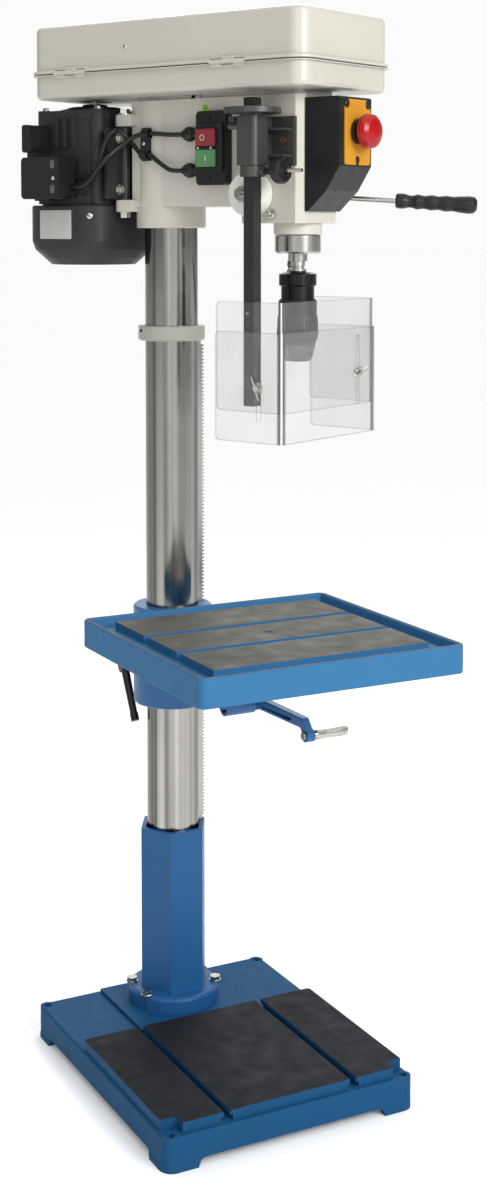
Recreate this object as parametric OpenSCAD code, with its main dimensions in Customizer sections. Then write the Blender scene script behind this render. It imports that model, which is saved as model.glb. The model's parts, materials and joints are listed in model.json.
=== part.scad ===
// Floor-standing pillar drill: cast base, hexagonal pedestal, steel column, tray table on a rack,
// belt-driven head swung on the column, keyless chuck and a clear swinging chuck guard.
// Origin: centre of the four anchor holes, at floor level. +Z up, the operator stands on -Y.

/* [Stand] */
// Width of the base along X
base_w = 446; // [430:2:460]
// Depth of the base along Y
base_d = 534; // [520:2:550]
// Height of the base deck over the floor
deck_z = 54; // [50:1:58]
// Distance from the anchor centre back to the column axis
column_y = 175; // [172:1:178]
// Radius of the column
column_r = 46; // [45.5:0.25:46.5]
// Height of the pedestal's top edge
pedestal_top = 378; // [360:2:390]
// Height of the middle of the column ring
ring_z = 1253; // [1250:1:1260]

/* [Table] */
// Height of the table's rim
table_z = 797; // [780:1:810]
// Width of the table along X
table_w = 456; // [440:2:470]
// Depth of the table along Y
table_d = 440; // [430:2:450]
// Height of the tray's side
table_h = 45; // [42:1:48]

/* [Head] */
// Turn of the head on the column, anticlockwise from above, in degrees
head_turn = 25; // [0:1:40]
// Distance from the column axis forward to the spindle axis
spindle_reach = 270; // [269:0.5:271]
// Underside of the column boss
head_z = 1434; // [1430:1:1438]
// Underside of the belt guard
guard_z = 1656; // [1654:1:1658]
// Width of the belt guard
guard_w = 252; // [248:2:256]
// Height of the closed belt guard
guard_h = 124; // [122:1:126]

/* [Motion] */
// Teeth of the quill pinion
pinion_teeth = 16; // [16:1:16]
// Module of the quill, table rack and worm teeth
tooth_module = 2; // [2:1:2]

/* [Hidden] */
$fn = 48;
fit = 0.05;
gap = 0.4;
eps = 0.01;

base_back = 92;
base_front = base_back - base_d;
pad_top = 71;
pad_back = -107;
pad_front = -433;
slot_x = 114;
centre_deck_z = 60;
anchor_x = 210;
anchor_back = 80;
anchor_front = -430;
anchor_r = 7;
rib_rows = [-256, -68];
flange_top = 88;
flange_r = 79.5;
hex_flats = 108;
column_top = 1636;
ring_h = 26;
ring_r = 58;
rack_face = 59;
rack_w = 16;
rack_back = column_r + 0.5;

collar_r = 69;
collar_bottom = 601;
collar_top = 774;
table_y = -354;
table_floor = table_z - table_h;
gear_x = rack_face - tooth_module + 12;
gear_z = 632;
lift_teeth = 12;
wheel_teeth = 18;
worm_r = 8;
crank_y = -100;
crank_z = gear_z - wheel_teeth*tooth_module/2 - worm_r;
arm_hub_x = 118;
eye_x = 150;
eye_y = -225;
eye_z = 574;
elbow = [146, -214, 594];
lift_front = crank_y - 18;
lift_back = 22;
clamp_y = 80;
clamp_z = 650;

sy = -spindle_reach;
cast_top = guard_z - 6;
cast_back = 49;
cast_front = -316;
cast_bottom = 1442;
waist_bottom = 1470;
quill_r = 32;
quill_bottom = 1424;
quill_top = 1616;
feed_y = -224;
feed_z = 1489.5;
pinion_r = pinion_teeth*tooth_module/2;
collar_low = 1393;
nose_z = 1380;
chuck_top = 1362;
chuck_tip = 1215.5;
neck_top = 1339;
neck_low = 1318;
neck_r = 27.4;
spanner_angle = -143;
boss_top = 1618;

guard_back = 212;
guard_front = -368;
guard_y = (guard_back + guard_front)/2;
guard_d = guard_back - guard_front;
guard_corner = 26;
sheet = 1.6;
tray_h = 42;
lip = 6;
hinge_x = -guard_w/2 - 4;
hinge_z = guard_z + tray_h + 1;
hinge_rows = [117, -223];
leaf = 9;

motor_x = -20;
motor_y = 158;
motor_half = 76;
cowl_half = 92;
fin_rows = [138, 158, 178];
motor_low = 1474;
motor_high = 1648;
lug_x = -57;
lug_y = 57;
lug_r = 15;
idler_x = 30;
idler_y = -55;
idler_pivot = [-40, -95];
pulley_low = 1670;
step_h = 20;
motor_steps = [44, 36, 28, 20];
idler_steps = [30, 38, 46, 54];
spindle_steps = [80, 72, 64, 56];
belt_w = 11.8;
belt_t = 6;
drive_level = 2;
spindle_level = 1;

post_x = -103;
post_y = -254;
bar = 20;
bar_low = 1148;
bar_high = 1642;
post_r = 17;
panel_x0 = -116;
panel_x1 = 150;
panel_front = -322;
panel_back = -190;
panel_t = 3;
bend_r = 7;
corner_r = 9;
panel_top = 1316;
panel_low = 1139;
outer_top = 1268;
outer_low = 1090;

jaw_tilt = 16;
jaw_rest = 1.5;
rod_splay = 30;
lead_r = 4;
saddles = [[-1, 1594], [4, 1559]];
saddle_x = -66;
gland_x = -69;

// Points of the two leads between the switch box and the motor, chosen by hand
upper_lead = [[-69, -82, 1590], [-69, -70, 1590], [-68, -48, 1591], [-66, -26, 1593], [-66, -10, 1594],
    [-66, 8, 1594], [-70, 21, 1590], [-77, 32, 1583], [-84, 41, 1574], [-93, 47, 1566],
    [-102, 52, 1557], [-109, 60, 1546], [-113, 72, 1531], [-114, 86, 1516], [-114, 100, 1508],
    [-114, 113, 1506], [-114, 129, 1506]];
lower_lead = [[-69, -82, 1530], [-69, -70, 1530], [-68, -54, 1532], [-66, -38, 1539], [-66, -22, 1549],
    [-66, -10, 1557], [-66, -2, 1559], [-66, 8, 1560], [-66, 17, 1564], [-66, 26, 1573], [-69, 35, 1584],
    [-76, 42, 1594], [-85, 47, 1600], [-94, 50, 1598], [-101, 55, 1590], [-104, 61, 1578],
    [-104, 67, 1562], [-104, 73, 1545], [-104, 81, 1532], [-104, 93, 1523], [-104, 108, 1520],
    [-104, 129, 1520]];

steel = "silver";
blue = [0.24, 0.45, 0.69];
cream = [0.78, 0.77, 0.70];
black = [0.09, 0.09, 0.09];
dark = [0.2, 0.2, 0.2];

// Frames and plain helpers

module column_frame() { translate([0, column_y, 0]) children(); }
module head_frame() { column_frame() rotate([0, 0, head_turn]) children(); }
module xcyl(x0, x1, y, z, r) { translate([x0, y, z]) rotate([0, 90, 0]) cylinder(h = x1 - x0, r = r); }
module ycyl(y0, y1, x, z, r) { translate([x, y1, z]) rotate([90, 0, 0]) cylinder(h = y1 - y0, r = r); }
module zcyl(z0, z1, x, y, r) { translate([x, y, z0]) cylinder(h = z1 - z0, r = r); }
module zcone(z0, z1, x, y, r0, r1) { translate([x, y, z0]) cylinder(h = z1 - z0, r1 = r0, r2 = r1); }
module block(low, high) { translate(low) cube(high - low); }
module hexagon(flats, h) { cylinder(h = h, r = flats/sqrt(3), $fn = 6); }

// A flat rounded rectangle, centred
module rounded(w, d, r) {
    square([w - 2*r, d], center = true);
    square([w, d - 2*r], center = true);
    for (x = [-1, 1], y = [-1, 1]) translate([x*(w/2 - r), y*(d/2 - r)]) circle(r);
}

// Sweeps a profile round a rounded rectangle; the profile's x runs outwards from the corner centres
module swept(w, d, r) {
    for (turn = [0 : 3]) {
        sx = turn == 0 || turn == 3 ? 1 : -1;
        dy = turn < 2 ? 1 : -1;
        translate([sx*(w/2 - r), dy*(d/2 - r), 0]) rotate([0, 0, 90*turn])
            rotate_extrude(angle = 90) children();
        across = turn % 2 == 0 ? w/2 - r : d/2 - r;
        along = turn % 2 == 0 ? d - 2*r : w - 2*r;
        rotate([0, 0, 90*turn]) translate([across, along/2, 0]) rotate([90, 0, 0])
            linear_extrude(along) children();
    }
}

// Hexagon-head bolt pointing down, its seat at the origin
module bolt(r, flats, length) {
    translate([0, 0, 1.5]) hexagon(flats, r*1.3);
    cylinder(h = 1.5, r = flats*0.62);
    translate([0, 0, -length]) cylinder(h = length, r = r);
}

// Involute helpers, angles in degrees
function involute(rb, t) = [rb*(cos(t) + t*PI/180*sin(t)), rb*(sin(t) - t*PI/180*cos(t))];
function spin(p, a) = [p[0]*cos(a) - p[1]*sin(a), p[0]*sin(a) + p[1]*cos(a)];
function roll(rb, r) = sqrt(max(0, r*r/(rb*rb) - 1))*180/PI;
function polar(r, a) = [r*cos(a), r*sin(a)];

// Outline of a spur gear; one gap is centred on the +X direction when the turn is zero
function tooth_side(m, teeth, slack, side) =
    let(rp = m*teeth/2, rb = rp*cos(20), inv20 = tan(20)*180/PI - 20,
        half = 90/teeth - slack/rp*90/PI + inv20)
    [for (k = [0 : 4]) let(r = max(rb, rp - 1.15*m) + k/4*(rp + m - max(rb, rp - 1.15*m)),
        p = involute(rb, roll(rb, r)), q = spin(p, -half)) [q[0], side*q[1]]];
module gear_outline(m, teeth, slack) {
    rf = m*teeth/2 - 1.25*m;
    union() {
        circle(rf + eps);
        for (k = [0 : teeth - 1]) rotate(360/teeth*(k + 0.5))
            polygon(concat([[rf - 0.6, -0.7*m]], tooth_side(m, teeth, slack, 1),
                [for (k = [4 : -1 : 0]) tooth_side(m, teeth, slack, -1)[k]], [[rf - 0.6, 0.7*m]]));
    }
}

// Side view of a straight rack from 0 to count pitches; x is the height over the pitch line
module rack_outline(m, count, back, slack) {
    p = PI*m;
    tip = p/4 - m*tan(20) - slack/2;
    root = p/4 + 1.15*m*tan(20) - slack/2;
    polygon(concat([[-back, 0]], [for (k = [0 : count - 1], q = [[-1.15*m, -root], [m, -tip],
        [m, tip], [-1.15*m, root]]) [q[0], (k + 0.5)*p + q[1]]], [[-back, count*p]]));
}

// Tube swept along a list of points
function unit(v) = v/norm(v);
function heading(p, i) = unit(p[min(i + 1, len(p) - 1)] - p[max(i - 1, 0)]);
function ring_at(p, i, r, n) = let(t = heading(p, i), u = unit(cross(t, [0.13, 0.31, 0.94])), v = cross(t, u))
    [for (k = [0 : n - 1]) p[i] + r*(cos(360*k/n)*u + sin(360*k/n)*v)];
module tube(p, r, n = 8) {
    last = len(p) - 1;
    rings = [for (i = [0 : last], q = ring_at(p, i, r, n)) q];
    sides = [for (i = [0 : last - 1], k = [0 : n - 1], s = [0, 1]) let(a = i*n + k, b = i*n + (k + 1) % n)
        s == 0 ? [a, b, b + n] : [a, b + n, a + n]];
    ends = [[for (k = [n - 1 : -1 : 0]) k], [for (k = [0 : n - 1]) last*n + k]];
    polyhedron(concat(rings), concat([for (f = sides) [f[0], f[2], f[1]]], [for (e = ends) [for (k = [n - 1 : -1 : 0]) e[k]]]));
}

// V-belt run round two circles whose radii are the belt's outside; one trapezoid swept on a closed path
function belt_station(c, r, angle, z) = [for (q = [[r - belt_t, -belt_w*0.29], [r, -belt_w/2], [r, belt_w/2],
    [r - belt_t, belt_w*0.29]]) [c + q[0]*cos(angle), q[0]*sin(angle), z + q[1]]];
module v_belt(a, ra, b, rb, z) {
    d = norm(b - a);
    wrap = acos((ra - rb)/d);
    arc = 20;
    stations = concat([for (i = [0 : arc]) belt_station(d, rb, wrap*(2*i/arc - 1), z)],
        [for (i = [0 : arc]) belt_station(0, ra, wrap + (360 - 2*wrap)*i/arc, z)]);
    n = len(stations);
    faces = [for (i = [0 : n - 1], k = [0 : 3], s = [0, 1])
        let(p = 4*i + k, q = 4*i + (k + 1) % 4, turn = 4*((i + 1) % n), p1 = turn + k, q1 = turn + (k + 1) % 4)
            s == 0 ? [p, q, q1] : [p, q1, p1]];
    translate([a[0], a[1], 0]) rotate([0, 0, atan2(b[1] - a[1], b[0] - a[0])])
        polyhedron([for (station = stations, point = station) point], faces);
}
module step_pulley(steps, bore, hub_r) {
    difference() {
        rotate_extrude() union() {
            for (k = [0 : 3]) translate([0, pulley_low + k*step_h]) pulley_step(steps[k]);
            translate([0, pulley_low - 4]) square([hub_r, 4*step_h + 8]);
        }
        translate([0, 0, pulley_low - 5]) cylinder(h = 4*step_h + 10, r = bore);
    }
}
// One V-groove; the pitch radius is the belt's outside radius plus a little
module pulley_step(r) {
    deep = belt_t + 2;
    polygon([[0, 0], [r, 0], [r, 3.6], [r - deep, 7.2], [r - deep, step_h - 7.2], [r, step_h - 3.6],
        [r, step_h], [0, step_h]]);
}

// Stand

module base() {
    color(blue) column_frame() difference() {
        union() {
            translate([0, (base_back + base_front)/2, 0]) swept(base_w + 6, base_d + 6, 22)
                polygon([[8, 0], [22, 0], [22, 7], [20.5, 10], [19, deck_z - 3], [16, deck_z], [8, deck_z]]);
            translate([0, (base_back + base_front)/2, deck_z - 12]) linear_extrude(12)
                rounded(base_w - 20, base_d - 20, 12);
            block([-slot_x + 8, pad_back, deck_z - 1], [slot_x - 8, base_back - 6, centre_deck_z]);
            // Ribs under the deck
            block([-6, base_front + 10, 14], [6, base_back - 10, deck_z - 8]);
            for (y = rib_rows) block([-base_w/2 + 10, y - 6, 14], [base_w/2 - 10, y + 6, deck_z - 8]);
            for (x = [-anchor_x, anchor_x], y = [anchor_back, anchor_front]) zcyl(0, deck_z, x, y, 13);
            translate([0, (pad_back + pad_front)/2, deck_z - 1]) linear_extrude(pad_top - deck_z + 1)
                rounded(436, pad_back - pad_front, 6);
        }
        for (x = [-1, 1]) {
            block([x*slot_x - 6, pad_front - 12, 60], [x*slot_x + 6, pad_back + 8, pad_top + 1]);
            block([x*slot_x - 10.5, pad_front - 12, 54.5], [x*slot_x + 10.5, pad_back + 8, 63]);
            for (y = [anchor_front]) translate([x*232, y - 22, deck_z]) linear_extrude(30) rounded(84, 84, 10);
        }
        for (x = [-anchor_x, anchor_x], y = [anchor_back, anchor_front]) zcyl(-1, deck_z + 1, x, y, anchor_r);
        translate([0, base_front, 0]) rotate([90, 0, 0]) translate([0, 0, -base_d - 20])
            linear_extrude(base_d + 40) rounded(336, 28, 13.9);
        translate([0, (base_back + base_front)/2, 0]) rotate([90, 0, 90]) translate([0, 0, -base_w])
            linear_extrude(2*base_w) rounded(424, 28, 13.9);
        for (x = [-67, 67]) for (y = [-32, 32]) zcyl(46, 100, x, y, 5.5);
    }
}

module pedestal() {
    color(blue) column_frame() difference() {
        union() {
            rotate_extrude() polygon([[40, centre_deck_z], [flange_r, centre_deck_z], [flange_r, flange_top - 6],
                [flange_r - 1.8, flange_top - 1.8], [flange_r - 6, flange_top], [40, flange_top]]);
            translate([0, 0, centre_deck_z]) hexagon(hex_flats, pedestal_top - centre_deck_z);
        }
        zcyl(flange_top, pedestal_top + 1, 0, 0, column_r + fit);
        translate([0, 0, pedestal_top - 60]) hexagon(2*column_r + 1, 61);
        zcyl(centre_deck_z - 1, flange_top + 1, 0, 0, 38);
        for (x = [-67, 67]) for (y = [-32, 32]) zcyl(50, flange_top + 1, x, y, 5.5);
    }
}

module flange_bolts() {
    color(steel) column_frame() for (x = [-67, 67], y = [-32, 32]) translate([x, y, flange_top]) bolt(5, 17, 40);
}

module column() {
    color("gainsboro") column_frame() difference() {
        zcyl(flange_top, column_top, 0, 0, column_r);
        zcyl(flange_top - 1, column_top + 1, 0, 0, column_r - 6);
    }
}

module column_ring() {
    color(cream) column_frame() difference() {
        rotate_extrude() polygon([[column_r + fit, ring_z - ring_h/2], [ring_r - 2, ring_z - ring_h/2],
            [ring_r, ring_z - ring_h/2 + 2], [ring_r, ring_z + ring_h/2 - 2], [ring_r - 2, ring_z + ring_h/2],
            [column_r + fit, ring_z + ring_h/2]]);
        rotate_extrude() polygon([[column_r - 1, ring_z - ring_h/2 - 1], [column_r + 9, ring_z - ring_h/2 - 1],
            [column_r + 8, ring_z - ring_h/2 + 7], [column_r - 1, ring_z - ring_h/2 + 7]]);
        xcyl(-ring_r - 1, -column_r, 0, ring_z + 4, 3);
    }
}

rack_low = pedestal_top + 1;
rack_high = ring_z - ring_h/2 - 1;
rack_count = floor((rack_high - rack_low)/(PI*tooth_module));
// The rack starts so that one of its teeth faces the pinion's gap at rest
rack_phase = gear_z - (floor((gear_z - rack_low)/(PI*tooth_module) - 0.5) + 0.5)*PI*tooth_module;

module rack() {
    color(steel) column_frame() difference() {
        union() {
            translate([rack_face - tooth_module, rack_w/2, rack_phase]) rotate([90, 0, 0]) linear_extrude(rack_w)
                rack_outline(tooth_module, rack_count - 1, rack_face - tooth_module - rack_back, 0.25);
            block([rack_back, -rack_w/2, rack_low], [rack_face - 5, rack_w/2, rack_phase + 0.01]);
            block([rack_back, -rack_w/2, rack_phase + (rack_count - 1)*PI*tooth_module - 0.01],
                [rack_back + 6, rack_w/2, ring_z - ring_h/2 + 5]);
        }
        translate([rack_face - 5.5, 0, rack_low]) rotate([0, -35, 0]) block([0, -20, -20], [20, 20, 4]);
    }
}

// Table and its lift

module table_bracket() {
    color(blue) column_frame() difference() {
        union() {
            rotate_extrude() polygon([[column_r + fit, collar_bottom], [collar_r - 3, collar_bottom],
                [collar_r, collar_bottom + 3], [collar_r, collar_top - 3], [collar_r - 3, collar_top],
                [column_r + fit, collar_top]]);
            for (x = [-1, 1]) translate([x*40, 0, 0]) rotate([90, 0, -90]) translate([0, 0, -6])
                linear_extrude(12) polygon([[40, 640], [150, 680], [330, 726], [330, 742], [40, 742]]);
            block([-52, -330, table_floor - 12], [52, -45, table_floor]);
            block([-90, -450, table_floor - 12], [90, -250, table_floor]);
            translate([0, clamp_y - 2, clamp_z]) rotate([0, 90, 0]) translate([0, 0, -24])
                linear_extrude(48) rounded(52, 36, 14);
            block([-24, 50, clamp_z - 26], [24, clamp_y - 4, clamp_z + 26]);
            xcyl(50, 106, crank_y, crank_z, 17);
            ycyl(lift_front, lift_back, gear_x, gear_z, 26);
            block([40, lift_front, gear_z - 26], [gear_x, lift_back, gear_z + 26]);
        }
        zcyl(collar_bottom - 1, collar_top + 1, 0, 0, column_r + fit);
        block([column_r - 4, -rack_w/2 - gap, collar_bottom - 40], [rack_face + gap, rack_w/2 + gap, collar_top + 1]);
        block([-1.5, column_r - 6, collar_bottom - 1], [1.5, clamp_y + 40, collar_top + 1]);
        xcyl(-60, 60, clamp_y, clamp_z, 6.2);
        ycyl(lift_front - 9, lift_back + 9, gear_x, gear_z, 5 + fit);
        ycyl(-10, 10, gear_x, gear_z, 15);
        ycyl(crank_y - 7, crank_y + 7, gear_x, gear_z, 21);
        xcyl(50, 90, crank_y, crank_z, 11.5);
        xcyl(40, 120, crank_y, crank_z, 6 + fit);
        for (x = [-70, 70], y = [-280, -420]) zcyl(table_floor - 20, table_floor + 1, x, y, 5.5);
        zcyl(table_floor - 20, table_floor + 1, 0, table_y, 9);
    }
}

module table() {
    trough = table_z - 14;
    color(blue) column_frame() difference() {
        union() {
            translate([0, table_y, 0]) swept(table_w, table_d, 14)
                polygon([[2, table_floor], [13, table_floor], [14, table_floor + 2], [14, table_z - 2],
                    [12, table_z], [7, table_z], [5, table_z - 2], [2, trough]]);
            translate([0, table_y, trough - 8]) linear_extrude(8) rounded(table_w - 20, table_d - 20, 6);
            block([-186, table_y - 178, trough - 1], [186, table_y + 178, table_z - 1]);
            for (x = [-70, 70]) block([x - 9, table_y - 206, table_floor], [x + 9, table_y + 206, trough - 7]);
            for (y = [-280, -420]) block([-214, y - 9, table_floor], [214, y + 9, trough - 7]);
            for (x = [-70, 70], y = [-280, -420]) zcyl(table_floor, trough - 7, x, y, 17);
            zcyl(table_floor + 8, trough - 7, 0, table_y, 16);
        }
        for (y = [-60, 60]) {
            block([-200, table_y + y - 7, trough], [200, table_y + y + 7, table_z + 1]);
        }
        zcyl(table_floor - 1, table_z + 1, 0, table_y, 6);
        for (x = [-70, 70], y = [-280, -420]) zcyl(table_floor - 1, table_floor + 12, x, y, 5.2);
    }
}

module table_bolts() {
    color(steel) column_frame() for (x = [-70, 70], y = [-280, -420])
        translate([x, y, table_floor - 12]) rotate([180, 0, 0]) bolt(5, 17, 22);
}

// Hub, stud and a bar hanging down from it
module clamp_lever() {
    color(dark) column_frame() {
        xcyl(-64, 40, clamp_y, clamp_z, 6);
        xcyl(-66, -26, clamp_y, clamp_z, 11);
        translate([26, clamp_y, clamp_z]) rotate([0, 90, 0]) hexagon(19, 9);
        translate([-58, clamp_y, clamp_z]) rotate([152, 0, 0]) {
            cylinder(h = 88, r1 = 7.5, r2 = 6.5);
            translate([0, 0, 86]) cylinder(h = 14, r = 7.5);
        }
    }
}

module lift_gear() {
    color(steel) column_frame() translate([gear_x, 0, gear_z]) rotate([90, 0, 0]) {
        translate([0, 0, -lift_back - 4]) cylinder(h = lift_back - lift_front + 6, r = 5);
        translate([0, 0, -9]) linear_extrude(18) rotate(180) gear_outline(tooth_module, lift_teeth, 0.12);
        translate([0, 0, -crank_y - 5]) linear_extrude(10) rotate(-90) gear_outline(tooth_module, wheel_teeth, 0.7);
    }
}

// Thread ridge of the worm, a right-hand helix along X
module worm_thread(turns, seg) {
    p = PI*tooth_module;
    low = 5.2;
    n = turns*seg;
    pts = [for (i = [0 : n]) let(a = 360*i/seg, x = p*i/seg)
        for (q = [[low, -1.55], [worm_r + 1.6, -0.55], [worm_r + 1.6, 0.55], [low, 1.55]])
            [x + q[1], -q[0]*sin(a), q[0]*cos(a)]];
    sides = [for (i = [0 : n - 1], k = [0 : 3], s = [0, 1]) let(a = i*4 + k, b = i*4 + (k + 1) % 4)
        s == 0 ? [a, b, b + 4] : [a, b + 4, a + 4]];
    polyhedron(pts, concat(sides, [[3, 2, 1, 0], [n*4, n*4 + 1, n*4 + 2, n*4 + 3]]));
}

module crank_shaft() {
    color(steel) column_frame() {
        xcyl(49, 124, crank_y, crank_z, 6);
        translate([gear_x - 2*PI*tooth_module, crank_y, crank_z]) worm_thread(4, 16);
        xcyl(gear_x - 17, gear_x + 17, crank_y, crank_z, 5.6);
    }
}

// Arm from the crank shaft out to the grip's eye
module crank_arm() {
    color(blue) column_frame() difference() {
        union() {
            xcyl(arm_hub_x - 8, arm_hub_x + 10, crank_y, crank_z, 14);
            xcyl(eye_x - 9.5, eye_x + 6, eye_y, eye_z, 11);
            hull() {
                xcyl(arm_hub_x - 5, arm_hub_x + 7, crank_y - 6, crank_z, 10, $fn = 32);
                xcyl(elbow[0] - 6, elbow[0] + 6, elbow[1], elbow[2], 9, $fn = 32);
            }
            hull() {
                xcyl(elbow[0] - 6, elbow[0] + 6, elbow[1], elbow[2], 9, $fn = 32);
                xcyl(eye_x - 7, eye_x + 5, eye_y, eye_z, 9, $fn = 32);
            }
        }
        // Channel down the arm's outer face
        hull() {
            xcyl(arm_hub_x - 6, arm_hub_x - 1, crank_y - 24, crank_z - 2, 4.5, $fn = 32);
            xcyl(elbow[0] - 8, elbow[0] - 2, elbow[1] + 8, elbow[2] + 1, 4.5, $fn = 32);
        }
        xcyl(arm_hub_x - 20, arm_hub_x + 7, crank_y, crank_z, 6 + fit);
        xcyl(eye_x - 20, eye_x + 20, eye_y, eye_z, 4 + fit);
    }
}

module crank_grip() {
    color("gray") column_frame() translate([eye_x, eye_y, eye_z]) rotate([0, 90, 0]) rotate_extrude()
        polygon([[0, -13.5], [7, -13.5], [7, -9.9], [4, -9.9], [4, 6.4], [8, 6.4], [9.5, 12], [8.5, 30],
            [9.5, 60], [9, 70], [6, 74], [0, 75]]);
}

// Head casting

module head_casting() {
    color(cream) head_frame() difference() {
        union() {
            rotate_extrude() polygon([[0, head_z], [58, head_z], [60, head_z + 2], [60, cast_top], [0, cast_top]]);
            linear_extrude_between(waist_bottom, cast_top) polygon([[-55, 41], [-47, cast_back], [47, cast_back],
                [55, 41], [55, -200], [-55, -200]]);
            linear_extrude_between(cast_bottom, cast_top) polygon([[-55, -196], [55, -196], [55, -304], [43, cast_front],
                [-43, cast_front], [-55, -304]]);
            zcyl(quill_bottom, cast_bottom + 1, 0, sy, 40);
            for (z = [lug_low, lug_high]) lug(z);
            xcyl(-56, -50, feed_y, feed_z, 34);
            xcyl(50, 58, feed_y, feed_z, 30);
        }
        zcyl(head_z - 1, column_top + 4, 0, 0, column_r + fit);
        zcyl(quill_bottom - 1, boss_top, 0, sy, quill_r + fit);
        zcyl(boss_top - 1, cast_top + 1, 0, sy, 27.5 + fit);
        block([-45, -196, waist_bottom + 12], [45, -72, cast_top + 1]);
        xcyl(-60, -13, feed_y, feed_z, 10 + fit);
        xcyl(-14, 14, feed_y, feed_z, 18.8);
        xcyl(13, 60, feed_y, feed_z, 18 + fit);
        for (z = [lug_low, lug_high]) zcyl(z - 20, z + 20, lug_x, lug_y, 6 + fit);
        for (y = [-30, 12]) xcyl(40, 62, y, 1480, 5);
        zcyl(1590, cast_top + 1, idler_pivot[0], idler_pivot[1], 8 + fit);
        xcyl(-60, -30, -258, 1457, 4);
    }
    // Boss that carries the idler's post, inside the open pocket
    color(cream) head_frame() difference() {
        zcyl(waist_bottom + 11, cast_top, idler_pivot[0], idler_pivot[1], 14);
        zcyl(1590, cast_top + 1, idler_pivot[0], idler_pivot[1], 8 + fit);
        block([-80, -196, 1400], [-50, -72, 1700]);
    }
}
lug_low = 1472;
lug_high = 1618;
module linear_extrude_between(z0, z1) { translate([0, 0, z0]) linear_extrude(z1 - z0) children(); }
module lug(z) {
    zcyl(z - 10, z + 10, lug_x, lug_y, lug_r);
    block([lug_x - lug_r, 30, z - 10], [lug_x + lug_r, lug_y, z + 10]);
}

module lug_bolts() {
    color(steel) head_frame() for (s = [[lug_high + 10, 0], [lug_low - 10, 180]])
        translate([lug_x, lug_y, s[0]]) rotate([s[1], 0, 0]) {
            cylinder(h = 2, r = 12);
            translate([0, 0, 1]) bolt(6, 18, 38);
        }
}

// Belt guard

module guard_tray() {
    top = guard_z + tray_h;
    c = guard_corner;
    color(cream) head_frame() difference() {
        union() {
            translate([0, guard_y, 0]) swept(guard_w, guard_d, c)
                polygon([[c - 9, guard_z], [c - 6, guard_z], [c - 2, guard_z + 2], [c, guard_z + 7], [c, top - 3],
                    [c + lip, top - 3], [c + lip, top - 3 + sheet], [c - sheet, top - 3 + sheet],
                    [c - sheet, guard_z + 7.5], [c - 3.2, guard_z + 3.4], [c - 9, guard_z + sheet]]);
            translate([0, guard_y, guard_z]) linear_extrude(sheet) rounded(guard_w - 14, guard_d - 14, c - 8);
            // Foot between the tray and the casting
            linear_extrude_between(cast_top, guard_z + eps) difference() {
                translate([0, -135]) rounded(96, 350, 12);
                translate([0, -134]) square([88, 124], center = true);
                translate([0, sy]) circle(29);
            }
        }
        hinge_notches();
        zcyl(guard_z - 10, guard_z + 5, 0, sy, 29);
        zcyl(guard_z - 10, guard_z + 5, idler_pivot[0], idler_pivot[1], 13);
        translate([motor_x, motor_y, guard_z - 2]) linear_extrude(6) rounded(64, 50, 20);
    }
}

// Lets the hinge leaves lie flat on the guard's side
module hinge_notches() {
    for (y = hinge_rows) block([-guard_w/2 - lip - 1, y - 36, guard_z + tray_h - 8],
        [-guard_w/2, y + 36, guard_z + tray_h + 10]);
}

// Fixed leaves with their knuckles and pins
module guard_hinges() {
    color("darkgray") head_frame() for (y = hinge_rows) {
        ycyl(y - 35, y + 35, hinge_x, hinge_z, 1.8);
        for (k = [-35, 12]) {
            ycyl(y + k, y + k + 23, hinge_x, hinge_z, 3.4);
            block([hinge_x + 0.4, y + k, hinge_z - leaf], [-guard_w/2, y + k + 23, hinge_z]);
        }
        block([-guard_w/2 - 1.4, y - 35, hinge_z - leaf], [-guard_w/2, y + 35, hinge_z - 5]);
    }
}

module guard_lid() {
    low = guard_z + tray_h + gap;
    top = guard_z + guard_h;
    c = guard_corner;
    color(cream) head_frame() difference() {
        union() {
            translate([0, guard_y, 0]) swept(guard_w, guard_d, c)
                polygon([[c - 12, top - sheet], [c - 12, top], [c - 9, top], [c - 4, top - 1.5], [c - 1.2, top - 4.5],
                    [c, top - 9], [c, low + lip + 1], [c + lip - 1.5, low + lip - 0.5], [c + lip, low + lip - 2],
                    [c + lip, low + 1], [c + lip - 1.5, low], [c - sheet, low], [c - sheet, top - 9.5],
                    [c - 2.5, top - 5.6], [c - 5, top - 2.9], [c - 9.3, top - sheet]]);
            translate([0, guard_y, top - sheet]) linear_extrude(sheet) rounded(guard_w - 20, guard_d - 20, c - 11);
        }
        hinge_notches();
    }
    // Moving leaves of the hinges
    color("darkgray") head_frame() for (y = hinge_rows) difference() {
        union() {
            ycyl(y - 11.6, y + 11.6, hinge_x, hinge_z, 3.4);
            block([hinge_x + 0.4, y - 11.6, hinge_z], [-guard_w/2 + 0.1, y + 11.6, hinge_z + leaf]);
            block([-guard_w/2 - 1.4, y - 35, hinge_z + 5], [-guard_w/2 + 0.1, y + 35, hinge_z + leaf]);
        }
        ycyl(y - 12, y + 12, hinge_x, hinge_z, 1.8 + fit);
    }
}

// Motor, hung on the casting's lugs

module motor_plate() {
    color(black) head_frame() difference() {
        union() {
            block([-98, 58, 1484], [62, 66.6, 1604]);
            zcyl(lug_low + 10.4, lug_high - 10.4, lug_x, lug_y, 9.5);
            for (x = [-70, 30], z = [1500, 1588]) ycyl(66, 82 - gap, x, z, 11);
        }
        zcyl(lug_low - 1, lug_high + 1, lug_x, lug_y, 6 + fit);
        block([-44, 40, 1480], [52, 62, 1620]);
        for (x = [-70, 30], z = [1500, 1588]) ycyl(50, 90, x, z, 4.2);
    }
}

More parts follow.
